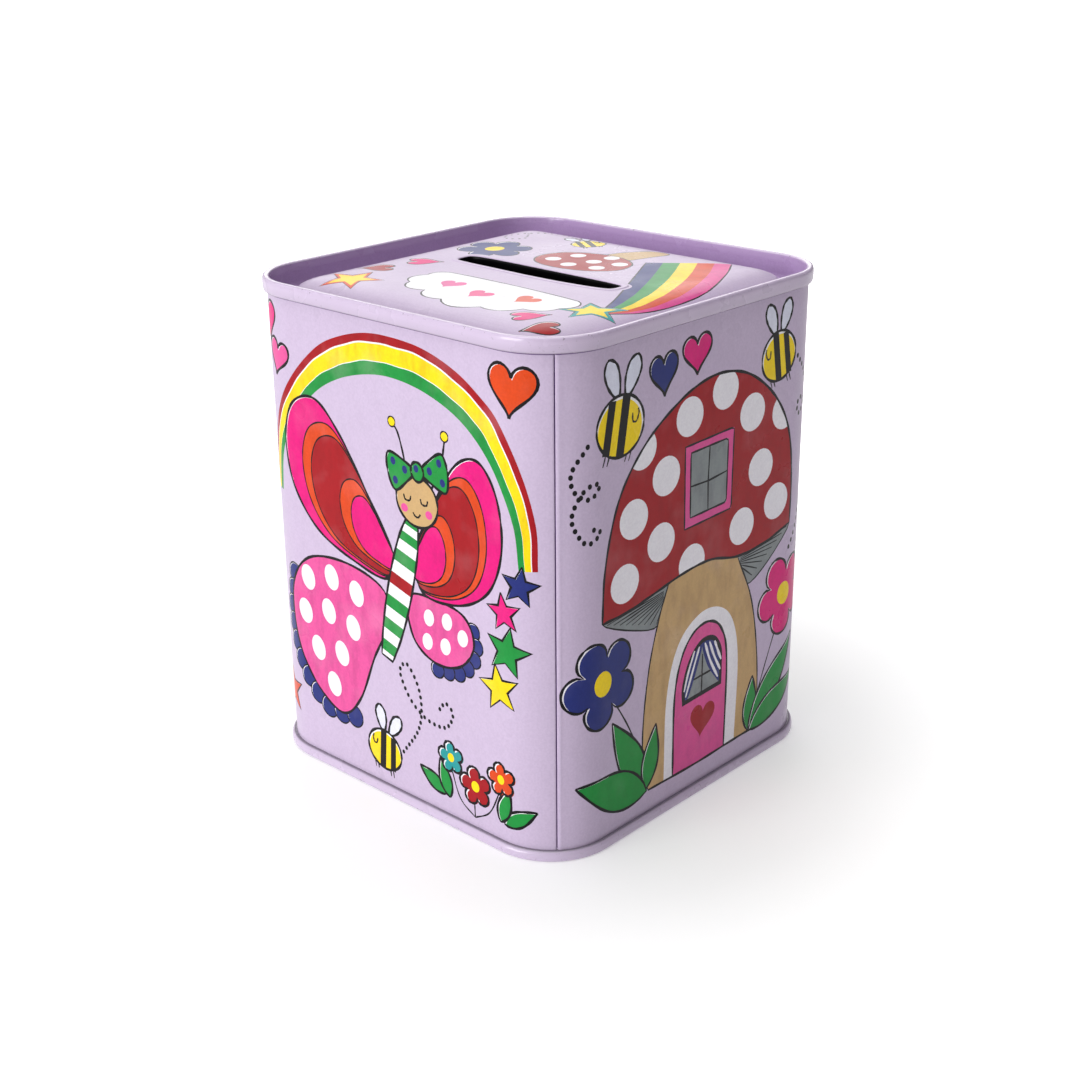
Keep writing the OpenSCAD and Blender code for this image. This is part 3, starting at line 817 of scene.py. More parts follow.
class Build:
    """Mesh under construction: parts with their faces, inks and materials."""

    def __init__(self):
        self.points, self.faces, self.inks, self.slots = [], [], [], []
        self.count = 0

    def place(self, points):
        """Adds points and returns the number of the first."""
        first = self.count
        self.points.append(np.asarray(points, float).reshape(-1, 3))
        self.count += len(self.points[-1])
        return first

    def cover(self, first, faces, ink, slot=0):
        """Adds faces over placed points. Ink is one colour or one for each face."""
        faces = np.asarray(faces)
        self.faces += (faces + first).tolist()
        self.inks.append(np.broadcast_to(np.asarray(ink, float), (len(faces), 4)))
        self.slots.append(np.full(len(faces), slot))

    def add(self, points, faces, ink, slot=0):
        """Adds points and the faces over them."""
        self.cover(self.place(points), faces, ink, slot)

    def add_sheet(self, front, back, triangles, ink, back_ink):
        """Adds a sheet: its front, its back, and its edges between the two."""
        n = len(front)
        edge = border(triangles)
        first = self.place(np.vstack([front, back]))
        self.cover(first, triangles, ink)
        self.cover(first, triangles[:, ::-1] + n, back_ink, 1)
        self.cover(first, np.column_stack([edge[:, ::-1], edge + n]), back_ink, 1)

    def finish(self, name, materials, body, sharp=38, weld=True):
        """Makes the object, smooth except over sharp edges, and rides it."""
        mesh = bpy.data.meshes.new(name)
        mesh.from_pydata((np.vstack(self.points) * MM).tolist(), [], self.faces)
        mesh.polygons.foreach_set("material_index", np.concatenate(self.slots))
        # The ink attribute holds each face's colour: the print, and painted shade on the top's gutter,
        # the rims, the slot's lip and under the top rim.
        inks = mesh.color_attributes.new("ink", "FLOAT_COLOR", "CORNER")
        corners = [len(f) for f in self.faces]
        inks.data.foreach_set("color", np.repeat(np.vstack(self.inks), corners, axis=0).ravel())
        work = bmesh.new()
        work.from_mesh(mesh)
        if weld:
            bmesh.ops.remove_doubles(work, verts=work.verts, dist=2e-7)
        bmesh.ops.recalc_face_normals(work, faces=work.faces)
        work.to_mesh(mesh)
        work.free()
        mesh.shade_smooth()
        mesh.set_sharp_from_angle(angle=math.radians(sharp))
        for material in materials:
            mesh.materials.append(material)
        piece = bpy.data.objects.new(name, mesh)
        bpy.context.scene.collection.objects.link(piece)
        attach(piece, body)
        return piece


def swept(build, loop, out, profile, ink, slot=0, closed=True):
    """Adds a profile carried round a loop. Ink is one colour or one per step."""
    points = carried(loop, out, profile)
    rows, columns = points.shape[:2]
    faces = grid_faces(rows, columns, True, closed)
    steps = columns if closed else columns - 1
    ink = np.broadcast_to(np.asarray(ink, float), (steps, 4))
    build.add(points, faces, np.tile(ink, (rows, 1)), slot)


def tint(name, share=1.0, alpha=0.3):
    """A palette colour made lighter or darker, with its amount of brush or wear."""
    return np.array([*np.minimum(palette()[name] * share, 1), alpha])


# ----------------------------------------------------------------- materials

def add_node(tree, kind, inputs=None, **settings):
    """A shader node with its settings and the values of its inputs."""
    item = tree.nodes.new(kind)
    for key, value in settings.items():
        setattr(item, key, value)
    for key, value in (inputs or {}).items():
        if isinstance(value, bpy.types.NodeSocket):
            tree.links.new(value, item.inputs[key])
        else:
            item.inputs[key].default_value = value
    return item


def math_node(tree, operation, first, second, clamp=False):
    """The result of a sum or a comparison of two values."""
    return add_node(tree, "ShaderNodeMath", {0: first, 1: second}, operation=operation,
                    use_clamp=clamp).outputs[0]


def mixed(tree, share, first, second, blend="MIX"):
    """Two colours mixed: the share says how much of the second is seen."""
    item = add_node(tree, "ShaderNodeMix", {"Factor": share}, data_type="RGBA", blend_type=blend)
    for key, value in ((6, first), (7, second)):
        if isinstance(value, bpy.types.NodeSocket):
            tree.links.new(value, item.inputs[key])
        else:
            item.inputs[key].default_value = (*value[:3], 1)
    return item.outputs[2]


def spread(tree, value, low, high, to_low=0.0, to_high=1.0):
    """Maps a value's range onto another, clamped."""
    return add_node(tree, "ShaderNodeMapRange", {"Value": value, "From Min": low, "From Max": high,
                                                 "To Min": to_low, "To Max": to_high}).outputs[0]


def noise(tree, scale, stretch=(1, 1, 1), detail=3.0, roughness=0.55):
    """Noise over the object's own coordinates, stretched along its axes."""
    place = add_node(tree, "ShaderNodeTexCoord").outputs["Object"]
    stretched = add_node(tree, "ShaderNodeMapping", {"Vector": place, "Scale": stretch}).outputs[0]
    return add_node(tree, "ShaderNodeTexNoise", {"Vector": stretched, "Scale": scale,
                                                 "Detail": detail, "Roughness": roughness}).outputs[0]


def node_group(name, inputs, outputs):
    """An empty shader group with its sockets. Returns it with its two ends."""
    group = bpy.data.node_groups.new(name, "ShaderNodeTree")
    for label, kind in inputs:
        group.interface.new_socket(label, in_out="INPUT", socket_type=kind)
    for label, kind in outputs:
        group.interface.new_socket(label, in_out="OUTPUT", socket_type=kind)
    return group, group.nodes.new("NodeGroupInput"), group.nodes.new("NodeGroupOutput")


def brushed_ink_group():
    """Brushed ink: darkens and lightens a colour in streaks, by an amount."""
    group, given, result = node_group("brushed_ink",
                                      (("Colour", "NodeSocketColor"), ("Amount", "NodeSocketFloat")),
                                      (("Colour", "NodeSocketColor"), ("Streaks", "NodeSocketFloat")))
    streaks = noise(group, 420, (1, 1, 0.35), 4)
    blotches = noise(group, 95, (1, 1, 1), 3)
    dark = math_node(group, "MULTIPLY", spread(group, streaks, 0.44, 0.66), given.outputs["Amount"])
    light = math_node(group, "MULTIPLY", spread(group, blotches, 0.5, 0.75), given.outputs["Amount"])
    shade = mixed(group, 1.0, given.outputs["Colour"], (0.52, 0.45, 0.5), "MULTIPLY")
    tone = mixed(group, math_node(group, "MULTIPLY", dark, 0.38), given.outputs["Colour"], shade)
    tone = mixed(group, math_node(group, "MULTIPLY", light, 0.1), tone, (0.95, 0.8, 0.86))
    screen = spread(group, noise(group, 2200, (1, 1, 1), 1), 0.35, 0.65, 0, 0.14)
    tone = mixed(group, screen, tone, (0.55, 0.5, 0.6), "MULTIPLY")
    group.links.new(tone, result.inputs["Colour"])
    group.links.new(streaks, result.inputs["Streaks"])
    return group


def rolled_tin_group():
    """Rolled tin: roughness that drifts over the sheet, and the normal of its
    shallow waves and fine grain."""
    group, given, result = node_group("rolled_tin", (("Smoothest", "NodeSocketFloat"),
                                                     ("Roughest", "NodeSocketFloat")),
                                      (("Roughness", "NodeSocketFloat"), ("Normal", "NodeSocketVector")))
    waves = noise(group, 26, (1, 1, 0.7), 1)
    grain = noise(group, 2600, (1, 1, 1), 2)
    drift = noise(group, 60, (1, 1, 1), 4)
    waved = add_node(group, "ShaderNodeBump", {"Height": waves, "Strength": 0.5, "Distance": 0.0006})
    grained = add_node(group, "ShaderNodeBump", {"Height": grain, "Strength": 0.12, "Distance": 0.00004,
                                                 "Normal": waved.outputs[0]})
    rough = spread(group, drift, 0.35, 0.65, given.outputs["Smoothest"], given.outputs["Roughest"])
    group.links.new(rough, result.inputs["Roughness"])
    group.links.new(grained.outputs[0], result.inputs["Normal"])
    return group


def edge_wear_group():
    """Edge wear: specks and rubbed patches where the wear attribute is high."""
    group, given, result = node_group("edge_wear", (("Wear", "NodeSocketFloat"),),
                                      (("Specks", "NodeSocketFloat"), ("Rubs", "NodeSocketFloat")))
    specks = spread(group, noise(group, 1500, (1, 1, 1), 3), 0.64, 0.70)
    rubs = spread(group, noise(group, 190, (1, 1, 2.2), 5, 0.7), 0.56, 0.72)
    for name, mask in (("Specks", specks), ("Rubs", rubs)):
        worn = math_node(group, "MULTIPLY", mask, given.outputs["Wear"], True)
        group.links.new(worn, result.inputs[name])
    return group


def shared_group(name, maker):
    """The shader group of this name, made on its first use."""
    return bpy.data.node_groups.get(name) or maker()


def new_material(name):
    """A node material. Returns it, its tree and its Principled shader."""
    material = bpy.data.materials.new(name)
    material.use_nodes = True
    tree = material.node_tree
    return material, tree, tree.nodes["Principled BSDF"]


def use_group(tree, name, maker, **inputs):
    """Places a shared group with its inputs set by name."""
    item = tree.nodes.new("ShaderNodeGroup")
    item.node_tree = shared_group(name, maker)
    for key, value in inputs.items():
        if isinstance(value, bpy.types.NodeSocket):
            tree.links.new(value, item.inputs[key])
        else:
            item.inputs[key].default_value = value
    return item.outputs


def print_material():
    """Printed tin: the ink attribute, print with some painted shade, brushed, under a satin varnish."""
    if "tin_print" in bpy.data.materials:
        return bpy.data.materials["tin_print"]
    material, tree, shader = new_material("tin_print")
    ink = add_node(tree, "ShaderNodeAttribute", attribute_name="ink")
    brushed = use_group(tree, "brushed_ink", brushed_ink_group, Colour=ink.outputs["Color"],
                        Amount=ink.outputs["Alpha"])
    tin = use_group(tree, "rolled_tin", rolled_tin_group, Smoothest=0.26, Roughest=0.4)
    tree.links.new(brushed["Colour"], shader.inputs["Base Color"])
    tree.links.new(tin["Roughness"], shader.inputs["Roughness"])
    tree.links.new(tin["Normal"], shader.inputs["Normal"])
    shader.inputs["Specular IOR Level"].default_value = 0.16
    shader.inputs["Coat Weight"].default_value = 0.05
    shader.inputs["Coat Roughness"].default_value = 0.14
    return material


def rim_material():
    """Lacquered seam: its tint attribute, which carries painted shade, rubbed and specked at the crests.
    """
    if "rim_coat" in bpy.data.materials:
        return bpy.data.materials["rim_coat"]
    material, tree, shader = new_material("rim_coat")
    ink = add_node(tree, "ShaderNodeAttribute", attribute_name="ink")
    wear = use_group(tree, "edge_wear", edge_wear_group, Wear=ink.outputs["Alpha"])
    tin = use_group(tree, "rolled_tin", rolled_tin_group, Smoothest=0.2, Roughest=0.36)
    rubbed = mixed(tree, math_node(tree, "MULTIPLY", wear["Rubs"], 0.4), ink.outputs["Color"],
                   palette()["lilac"] * 1.25)
    specked = mixed(tree, math_node(tree, "MULTIPLY", wear["Specks"], 0.85), rubbed,
                    (0.10, 0.08, 0.10))
    tree.links.new(specked, shader.inputs["Base Color"])
    tree.links.new(tin["Roughness"], shader.inputs["Roughness"])
    tree.links.new(tin["Normal"], shader.inputs["Normal"])
    shader.inputs["Coat Weight"].default_value = 0.4
    shader.inputs["Coat Roughness"].default_value = 0.1
    return material


def inside_material():
    """Lacquered tin inside: metal with a golden varnish and rolling marks."""
    if "tin_inside" in bpy.data.materials:
        return bpy.data.materials["tin_inside"]
    material, tree, shader = new_material("tin_inside")
    marks = noise(tree, 300, (1, 1, 0.05), 4)
    tin = use_group(tree, "rolled_tin", rolled_tin_group, Smoothest=0.3, Roughest=0.5)
    tone = mixed(tree, spread(tree, marks, 0.3, 0.7), palette()["tin"], palette()["tin"] * 0.72)
    tree.links.new(tone, shader.inputs["Base Color"])
    tree.links.new(tin["Roughness"], shader.inputs["Roughness"])
    tree.links.new(tin["Normal"], shader.inputs["Normal"])
    shader.inputs["Metallic"].default_value = 0.85
    return material


def plastic_material():
    """Moulded plastic: cloudy off-white with a fine mould texture."""
    material, tree, shader = new_material("stopper_plastic")
    clouds = noise(tree, 70, (1, 1, 1), 4)
    skin = noise(tree, 1800, (1, 1, 1), 2)
    colour_now = palette()["plastic"]
    tone = mixed(tree, spread(tree, clouds, 0.35, 0.65), colour_now, colour_now * (0.9, 0.9, 0.88))
    bump = add_node(tree, "ShaderNodeBump", {"Height": skin, "Strength": 0.25, "Distance": 0.00005})
    tree.links.new(tone, shader.inputs["Base Color"])
    tree.links.new(spread(tree, skin, 0.3, 0.7, 0.34, 0.48), shader.inputs["Roughness"])
    tree.links.new(bump.outputs[0], shader.inputs["Normal"])
    return material


def floor_material():
    """Pale studio paper with a faint tooth. To the eye it glows far out, and
    on the box it throws an even, dimmer light."""
    material, tree, shader = new_material("floor_paper")
    place = add_node(tree, "ShaderNodeTexCoord").outputs["Object"]
    far = add_node(tree, "ShaderNodeVectorMath", {0: place}, operation="LENGTH").outputs["Value"]
    seen = add_node(tree, "ShaderNodeLightPath").outputs["Is Camera Ray"]
    glow = spread(tree, far, 0.07, 0.26, 0.3, 1.0)
    tree.links.new(mixed(tree, seen, (0.24, 0.23, 0.25), glow), shader.inputs["Emission Color"])
    shader.inputs["Emission Strength"].default_value = 1
    tooth = noise(tree, 900, (1, 1, 1), 2)
    tone = mixed(tree, spread(tree, tooth, 0.3, 0.7), (0.73, 0.73, 0.73), (0.77, 0.77, 0.77))
    tree.links.new(tone, shader.inputs["Base Color"])
    shader.inputs["Roughness"].default_value = 0.9
    return material


# -------------------------------------------------------------------- pieces

def body_loop(size, corner_steps=16):
    """The body's plan outline, as points and outward directions."""
    half = RIM_HALF - size["rim_out"]
    return rounded_loop(half, half, size["corner"], corner_steps)


def build_body_wall(size):
    """Printed wall: the flat sheet (run, height) is cut along its artwork, then
    wrapped round the body's plan by wall_place. Both ends of the sheet roll
    inwards by 1 - sqrt(1 - (1 - d)^2) of the bend's radius, d bends from the
    end, and meet in the groove of the side seam."""
    quarter = quarter_run(size)
    start = quarter / 2 + SEAM_SHIFT
    ends = (start, start + 4 * quarter)
    low, high = 1.3, BOX_HEIGHT - 1.4  # both ends are hidden in the seams
    sheet = Picture(size["outline"])
    for side, draw in enumerate((draw_right, draw_back, draw_left, draw_front), 1):
        sheet.origin = np.array([side * quarter, 0.0])
        draw(sheet)
    sheet.origin = np.zeros(2)
    crease = BOX_HEIGHT - size["rim_height"]
    # The first two strips are the dark line of the side seam; the third is painted shadow along the wall
    # under the top rim's roll.
    for left, right, foot, head in ((ends[0], ends[0] + 0.1, 0, BOX_HEIGHT),
                                    (ends[1] - 0.12, ends[1], 0, BOX_HEIGHT),
                                    (ends[0], ends[1], crease - 0.28, crease + 0.1)):
        sheet.ink([(left, foot), (right, foot), (right, head), (left, head)], "seam", 0)
    bend = 0.4
    rolls = np.array([0.04, 0.1, 0.17, 0.26, bend, 0.6, 0.9, 1.3])
    runs = np.concatenate([corner_runs(size, 1.0), corner_runs(size, 30)[0::2] - 0.5,
                           corner_runs(size, 30)[1::2] + 0.5])
    runs = np.concatenate([runs, runs + 4 * quarter])
    runs = runs[(runs > ends[0] + 1.5) & (runs < ends[1] - 1.5)]
    runs = np.concatenate([runs, ends[0] + rolls, ends[1] - rolls])
    plan = np.array([(ends[0], low), (ends[1], low), (ends[1], high), (ends[0], high)])
    lines = [[(run, low), (run, high)] for run in runs]
    points, triangles, top = cut_sheet(plan, sheet.shapes, sheet.limits, lines=lines)
    run, height = points.T
    from_end = np.minimum(run - ends[0], ends[1] - run)
    d = np.clip(from_end / bend, 0, 1)
    out = -bend * (1 - np.sqrt(1 - (1 - d) ** 2))
    out += 0.1 * np.exp(-((run - ends[0] - 0.75) / 0.35) ** 2) * d
    front = np.column_stack([wall_place(run, out, size), height])
    back = np.column_stack([wall_place(run, out - size["sheet"], size), height])
    inks = np.vstack([sheet.inks, tint("lilac", 1, 0.1)])[top]
    build = Build()
    build.add_sheet(front, back, triangles, inks, tint("tin"))
    wall = build.finish("printed_wall", [print_material(), inside_material()], "tin",
                        weld=False)
    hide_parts("body_wall")
    return wall


def build_lock_strip(size):
    """Lock strip inside the side seam: a flat bar with rounded edges, set
    behind the seam and as tall as the body."""
    quarter = quarter_run(size)
    t = around(24)
    across = 2.6 * np.sign(np.cos(t)) * np.abs(np.cos(t)) ** 0.5
    deep = -0.93 + 0.22 * np.sign(np.sin(t)) * np.abs(np.sin(t)) ** 0.5
    plan = wall_place(quarter / 2 + SEAM_SHIFT + across, deep, size)
    heights = (3.4, 3.5, 98.0, 98.1)
    shrink = (0.9, 1, 1, 0.9)
    middle = plan.mean(axis=0)
    rings = [np.column_stack([middle + (plan - middle) * s, np.full(len(plan), z)])
             for s, z in zip(shrink, heights)]
    build = Build()
    build.add(np.vstack(rings), grid_faces(4, len(plan), False, True), tint("tin"))
    for end in (rings[0], rings[-1]):
        build.add(end, [list(range(len(plan)))], tint("tin"))
    return build.finish("side_seam_lock", [inside_material()], "tin")


def top_profile(size):
    """Section of the top from its flat middle outwards, in distance from the
    straight sides' square and height: a crown that falls with the square of the
    distance, a step down, the gutter, and the wall up to the rim."""
    edge = size["corner"] - size["panel_inset"]
    crown = np.linspace(0, edge - 0.9, 8)
    high = BOX_HEIGHT - size["panel_drop"]
    drop = (size["edge_drop"] - size["panel_drop"]) * (crown / (edge - 0.9)) ** 2
    floor = BOX_HEIGHT - size["gutter"]
    wall = size["corner"] - 0.55
    rest = filleted([(crown[-1], high - drop[-1], 0), (edge, high - drop[-1] - 0.45, 0.7),
                     (edge + 0.15, floor, 0.9), (wall, floor, 1.0), (wall, BOX_HEIGHT - 0.7, 0)], 5)
    return np.vstack([np.column_stack([crown, high - drop]), rest[1:]])


def slot_outline(size, count=96):
    """Mouth of the coin slot: a super-ellipse with blunt ends. Its front edge
    bows out near the middle as a bell curve, and its back edge narrows evenly
    to the right."""
    t = around(count)
    half = size["slot_width"] / 2
    x = (size["slot_length"] / 2 + 0.15) * np.sign(np.cos(t)) * np.abs(np.cos(t)) ** 0.4
    y = np.sign(np.sin(t)) * np.abs(np.sin(t)) ** 0.34
    front = half + 0.05 + 0.8 * np.exp(-((x - 5) / 13) ** 2)
    back = half - 0.15 - 0.03 * x
    return np.column_stack([x - 0.3, np.where(y < 0, y * front, y * back)])


def build_top_panel(size):
    """Printed top: the flat sheet is cut along its artwork in plan. A point
    outside the straight sides' square is then carried along the section by its
    distance from that square, and stays in its own direction."""
    profile = top_profile(size)
    run = np.concatenate([[0], np.cumsum(np.linalg.norm(np.diff(profile, axis=0), axis=1))])
    straight = RIM_HALF - size["rim_out"] - size["corner"]
    loops = [rounded_loop(straight + r, straight + r, r, 12)[0] for r in run[1:]]
    mouth = slot_outline(size)
    collar = grown(mouth, 2.1)
    sheet = Picture(0.6 * size["outline"])
    draw_top(sheet)
    points, triangles, top = cut_sheet(loops[-1], sheet.shapes, sheet.limits, rings=loops[:-1],
                                       holes=[collar])
    nearest = np.clip(points, -straight, straight)
    away = points - nearest
    reach = np.linalg.norm(away, axis=1)
    direction = away / np.maximum(reach, 1e-9)[:, None]
    up = side_steps(profile, False)
    up[0] = (0, 1)
    radial = np.interp(reach, run, profile[:, 0])
    height = np.interp(reach, run, profile[:, 1])
    tilt = np.interp(reach, run, up[:, 0])
    lift = np.interp(reach, run, up[:, 1])
    front = np.column_stack([nearest + direction * radial[:, None], height])
    normal = np.column_stack([direction * tilt[:, None], lift])
    back = front - size["sheet"] * normal
    inks = np.vstack([sheet.inks, tint("lilac", 1, 0.1)])[top]
    # Painted shade: the gutter's floor is darkened, and its outer wall under the rim takes the shade
    # colour, where shadow falls.
    inks[height[triangles].mean(axis=1) < BOX_HEIGHT - size["gutter"] + 0.6] = tint("lilac", 0.92, 0.1)
    inks[radial[triangles].mean(axis=1) > size["corner"] - 1.2] = tint("shade", 1, 0.1)
    build = Build()
    build.add_sheet(front, back, triangles, inks, tint("tin"))
    panel = build.finish("printed_top", [print_material(), inside_material()], "tin",
                         weld=False)
    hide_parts("top_panel")
    return panel


def build_slot_collar(size):
    """Collar of the coin slot: a bent sheet carried round the mouth. It steps up
    from the panel, lies flat, and turns down into the slot."""
    mouth = slot_outline(size)
    out = -side_steps(mouth, True)
    face = BOX_HEIGHT - size["panel_drop"]
    middle = filleted([(2.12, face - 0.12, 0), (1.5, face - 0.12, 0.25), (1.15, face + 0.06, 0.25),
                       (-0.02, face + 0.06, 0.5), (0.0, face - size["slot_lip"], 0)], 6)
    left, right = sheet_edges(middle, size["sheet"])
    profile = np.vstack([left, right[::-1]])
    middles = (profile + np.roll(profile, -1, axis=0)) / 2
    # Painted shadow: the lip's inner face down into the slot is near black, standing in for the dark
    # inside of the box.
    inside = (middles[:, 0] < 0.08) & (middles[:, 1] < face + 0.02)
    ink = np.where(inside[:, None], tint("black", 0.5, 0), tint("lilac", 1, 0.1))
    build = Build()
    swept(build, mouth, out, profile, ink)
    return build.finish("slot_collar", [print_material()], "tin", 50)


def build_top_rim(size):
    """Top seam: a closed section carried round the body's plan. It is a full
    roll whose painted shade darkens it towards the crease at its foot."""
    top = BOX_HEIGHT
    section = smooth([(0.05, top - 3.0), (0.45, top - 3.02), (0.72, top - 2.9), (0.84, top - 2.5),
                      (0.89, top - 1.9), (0.9, top - 1.1), (0.87, top - 0.6), (0.72, top - 0.2),
                      (0.42, top - 0.02), (0.1, top), (-0.25, top - 0.06), (-0.48, top - 0.3),
                      (-0.56, top - 0.8), (-0.56, top - 1.8), (-0.3, top - 2.4), (-0.02, top - 2.8)],
                     per=3)
    loop, out = body_loop(size)
    z = (section[:, 1] + np.roll(section[:, 1], -1)) / 2 - top
    outer = section[:, 0] > 0.3
    under = np.clip((-z - 1.2) / 1.8, 0, 1) * outer
    foot = np.exp(-((z + 3.0) / 0.2) ** 2)
    # Painted shade: the lower outer face darkens a little, and the crease at the foot darkens strongly.
    shade = 1 - 0.14 * under - 0.6 * foot
    ink = np.column_stack([shade[:, None] * palette()["lilac"], 0.25 + 0.55 * (z > -0.5)])
    # Painted shade on the rim's inner face, below its top.
    ink[(section[:, 0] < -0.3) & (z < -0.3)] = tint("shade", 1, 0.2)
    build = Build()
    swept(build, loop, out, section, ink)
    return build.finish("top_rim", [rim_material()], "tin", 60)


def build_base_rim(size):
    """Base seam: a closed section carried round the body's plan, a full bead
    whose flat foot stands on the table."""
    wide = size["foot_out"]
    section = smooth([(0.0, 2.25), (0.3, 2.3), (0.62, 2.2), (0.92, 1.9), (wide, 1.35), (wide, 0.8),
                      (wide - 0.14, 0.3), (wide - 0.5, 0.02), (wide - 0.85, 0), (wide - 1.2, 0),
                      (wide - 1.55, 0.08), (-0.62, 0.4), (-0.66, 1.0), (-0.66, 2.0), (-0.6, 2.6),
                      (-0.3, 2.7)], per=3)
    section[:, 1] = np.maximum(section[:, 1], 0)
    loop, out = body_loop(size)
    z = (section[:, 1] + np.roll(section[:, 1], -1)) / 2
    # Painted shade: the outer face darkens in the crease at the bead's top, under the wall.
    crease = np.exp(-((z - 2.3) / 0.16) ** 2) * (section[:, 0] > -0.2)
    shade = 1 - 0.7 * crease
    ink = np.column_stack([shade[:, None] * palette()["lilac"], 0.3 + 0.6 * (z < 0.7)])
    build = Build()
    swept(build, loop, out, section, ink)
    return build.finish("base_rim", [rim_material()], "tin", 60)


def ring(radius, count=96):
    """A circle in plan, as points and outward directions."""
    t = around(count)
    out = np.column_stack([np.cos(t), np.sin(t)])
    return radius * out, out


def build_base_panel(size):
    """Base: a flat floor cut in plan, with the wall up into the seam carried
    round its outline, and the seat and curled edge of the stopper's hole
    carried round a circle."""
    low = size["base_lift"]
    thick = size["sheet"]
    straight = RIM_HALF - size["rim_out"] - size["corner"]
    turn = size["corner"] - 1.7
    flat = rounded_loop(straight + turn, straight + turn, turn, 12)
    hole = ring(SEAT_RADIUS)
    seat = low + size["seat_step"]
    hole_r = size["hole_radius"]
    lip = low + 3.4
    under_seat = filleted([(SEAT_RADIUS, low, 0), (24.1, low, 0.3), (23.7, seat, 0.3),
                           (hole_r + 0.35, seat, 0.35), (hole_r, lip, 0)], 5)
    over_seat = filleted([(SEAT_RADIUS, low + thick, 0), (24.3, low + thick, 0.2),
                          (23.9, seat + thick, 0.4), (hole_r + 0.6, seat + thick, 0.3),
                          (hole_r + 0.28, lip, 0)], 5)
    curl = np.array([(hole_r + 0.06, lip + 0.22), (hole_r + 0.2, lip + 0.26)])
    seat_section = np.vstack([under_seat, curl, over_seat[::-1]])
    seat_section[:, 0] -= SEAT_RADIUS
    edge_section = filleted([(0, low, 0), (0.5, low, 0.5), (0.85, 1.2, 0.3), (0.85, 0.5, 0),
                             (1.12, 0.5, 0), (1.12, low + thick, 0.4), (0, low + thick, 0)], 5)
    build = Build()
    points, triangles, _ = cut_sheet(flat[0], [], holes=[hole[0]])
    for z, slot in ((low, 0), (low + thick, 1)):
        skin = np.column_stack([points, np.full(len(points), z)])
        build.add(skin, triangles, tint("lilac", 1, 0.2), slot)
    swept(build, hole[0], hole[1], seat_section, tint("lilac", 1, 0.25), closed=False)
    swept(build, flat[0], flat[1], edge_section, tint("lilac", 1, 0.25), closed=False)
    panel = build.finish("base_floor", [rim_material(), inside_material()], "tin", 45)
    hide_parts("base_panel")
    return panel


def build_stopper(size):
    """Stopper: a section turned about the upright axis. It has a flange with a
    moulded ring, a skirt with a snap bead, and a finger well."""
    low = STOPPER_LOW
    top = STOPPER_HIGH
    cap = CAP_RADIUS
    well = size["well_radius"]
    skirt = size["hole_radius"] - 0.4
    under = low + 1.6
    section = filleted([
        (0, low + 5.9, 0), (1.2, low + 5.9, 0.15), (1.35, low + 6.2, 0.15),
        (well - 0.35, low + 6.2, 0.7), (well, low, 0.45),
        (15.0, low, 0.1), (15.2, low + 0.25, 0.15), (15.6, low + 0.25, 0.15), (15.8, low, 0.1),
        (20.2, low, 0.1), (20.4, low + 0.25, 0.15), (20.8, low + 0.25, 0.15), (21.0, low, 0.1),
        (cap, low, 0.5), (cap, under, 0.5), (skirt, under, 0.2),
        (skirt, low + 4.5, 0.4), (skirt + 0.36, low + 5.2, 0.5), (skirt, low + 5.9, 0.4),
        (skirt - 0.2, low + 7.4, 0.4), (skirt - 1.3, low + 7.4, 0.3), (skirt - 1.3, under, 0.3),
        (well + 1.3, under, 0.3), (well + 1.3, top, 0.6), (0, top, 0)], 5)
    loop, out = ring(0)
    build = Build()
    swept(build, loop, out, section, tint("plastic"), closed=False)
    add_pull_bar(build, well, low)
    add_ribs(build, skirt - 1.3, well + 1.3, under)
    piece = build.finish("stopper_cap", [plastic_material()], "stopper", 40)
    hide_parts("stopper")
    return piece


def add_pull_bar(build, well, low):
    """Pull bar: a super-ellipse section carried along X, thinner at mid span."""
    x = np.linspace(-well - 0.5, well + 0.5, 25)
    t = around(28)
    waist = 1 - 0.14 * np.cos(np.clip(x / well, -1, 1) * np.pi / 2) ** 2
    y = 1.6 * np.sign(np.cos(t)) * np.abs(np.cos(t)) ** 0.4
    z = np.sign(np.sin(t)) * np.abs(np.sin(t)) ** 0.4
    grid = np.stack([np.broadcast_to(x[:, None], (len(x), len(t))), waist[:, None] * y,
                     np.broadcast_to(low + 1.0 + z, (len(x), len(t)))], axis=-1)
    build.add(grid, grid_faces(len(x), len(t), False, True), tint("plastic"))
    for row in (grid[0], grid[-1]):
        build.add(row, [list(range(len(t)))], tint("plastic"))


def add_ribs(build, outer, inner, floor):
    """Stiffening ribs: thin upright walls between the skirt and the well."""
    corners = np.array([(inner - 0.2, -0.45), (outer + 0.2, -0.45), (outer + 0.2, 0.45),
                        (inner - 0.2, 0.45)])
    heights = np.array([floor - 0.2, floor + 2.6])
    faces = [(0, 1, 5, 4), (1, 2, 6, 5), (2, 3, 7, 6), (3, 0, 4, 7), (0, 3, 2, 1), (4, 5, 6, 7)]
    for turn in range(45, 405, 90):
        plan = placed(corners, 0, 0, turn)
        rib = np.vstack([np.column_stack([plan, np.full(4, z)]) for z in heights])
        build.add(rib, faces, tint("plastic"))


# --------------------------------------------------------------------- stage

def area_light(name, place, target, width, watts, tone=(1, 1, 1)):
    """A soft square light that faces a point."""
    lamp = bpy.data.lights.new(name, "AREA")
    lamp.size = width
    lamp.energy = watts
    lamp.color = tone
    item = bpy.data.objects.new(name, lamp)
    item.location = place
    item.rotation_euler = (Vector(target) - Vector(place)).to_track_quat("-Z", "Y").to_euler()
    bpy.context.scene.collection.objects.link(item)


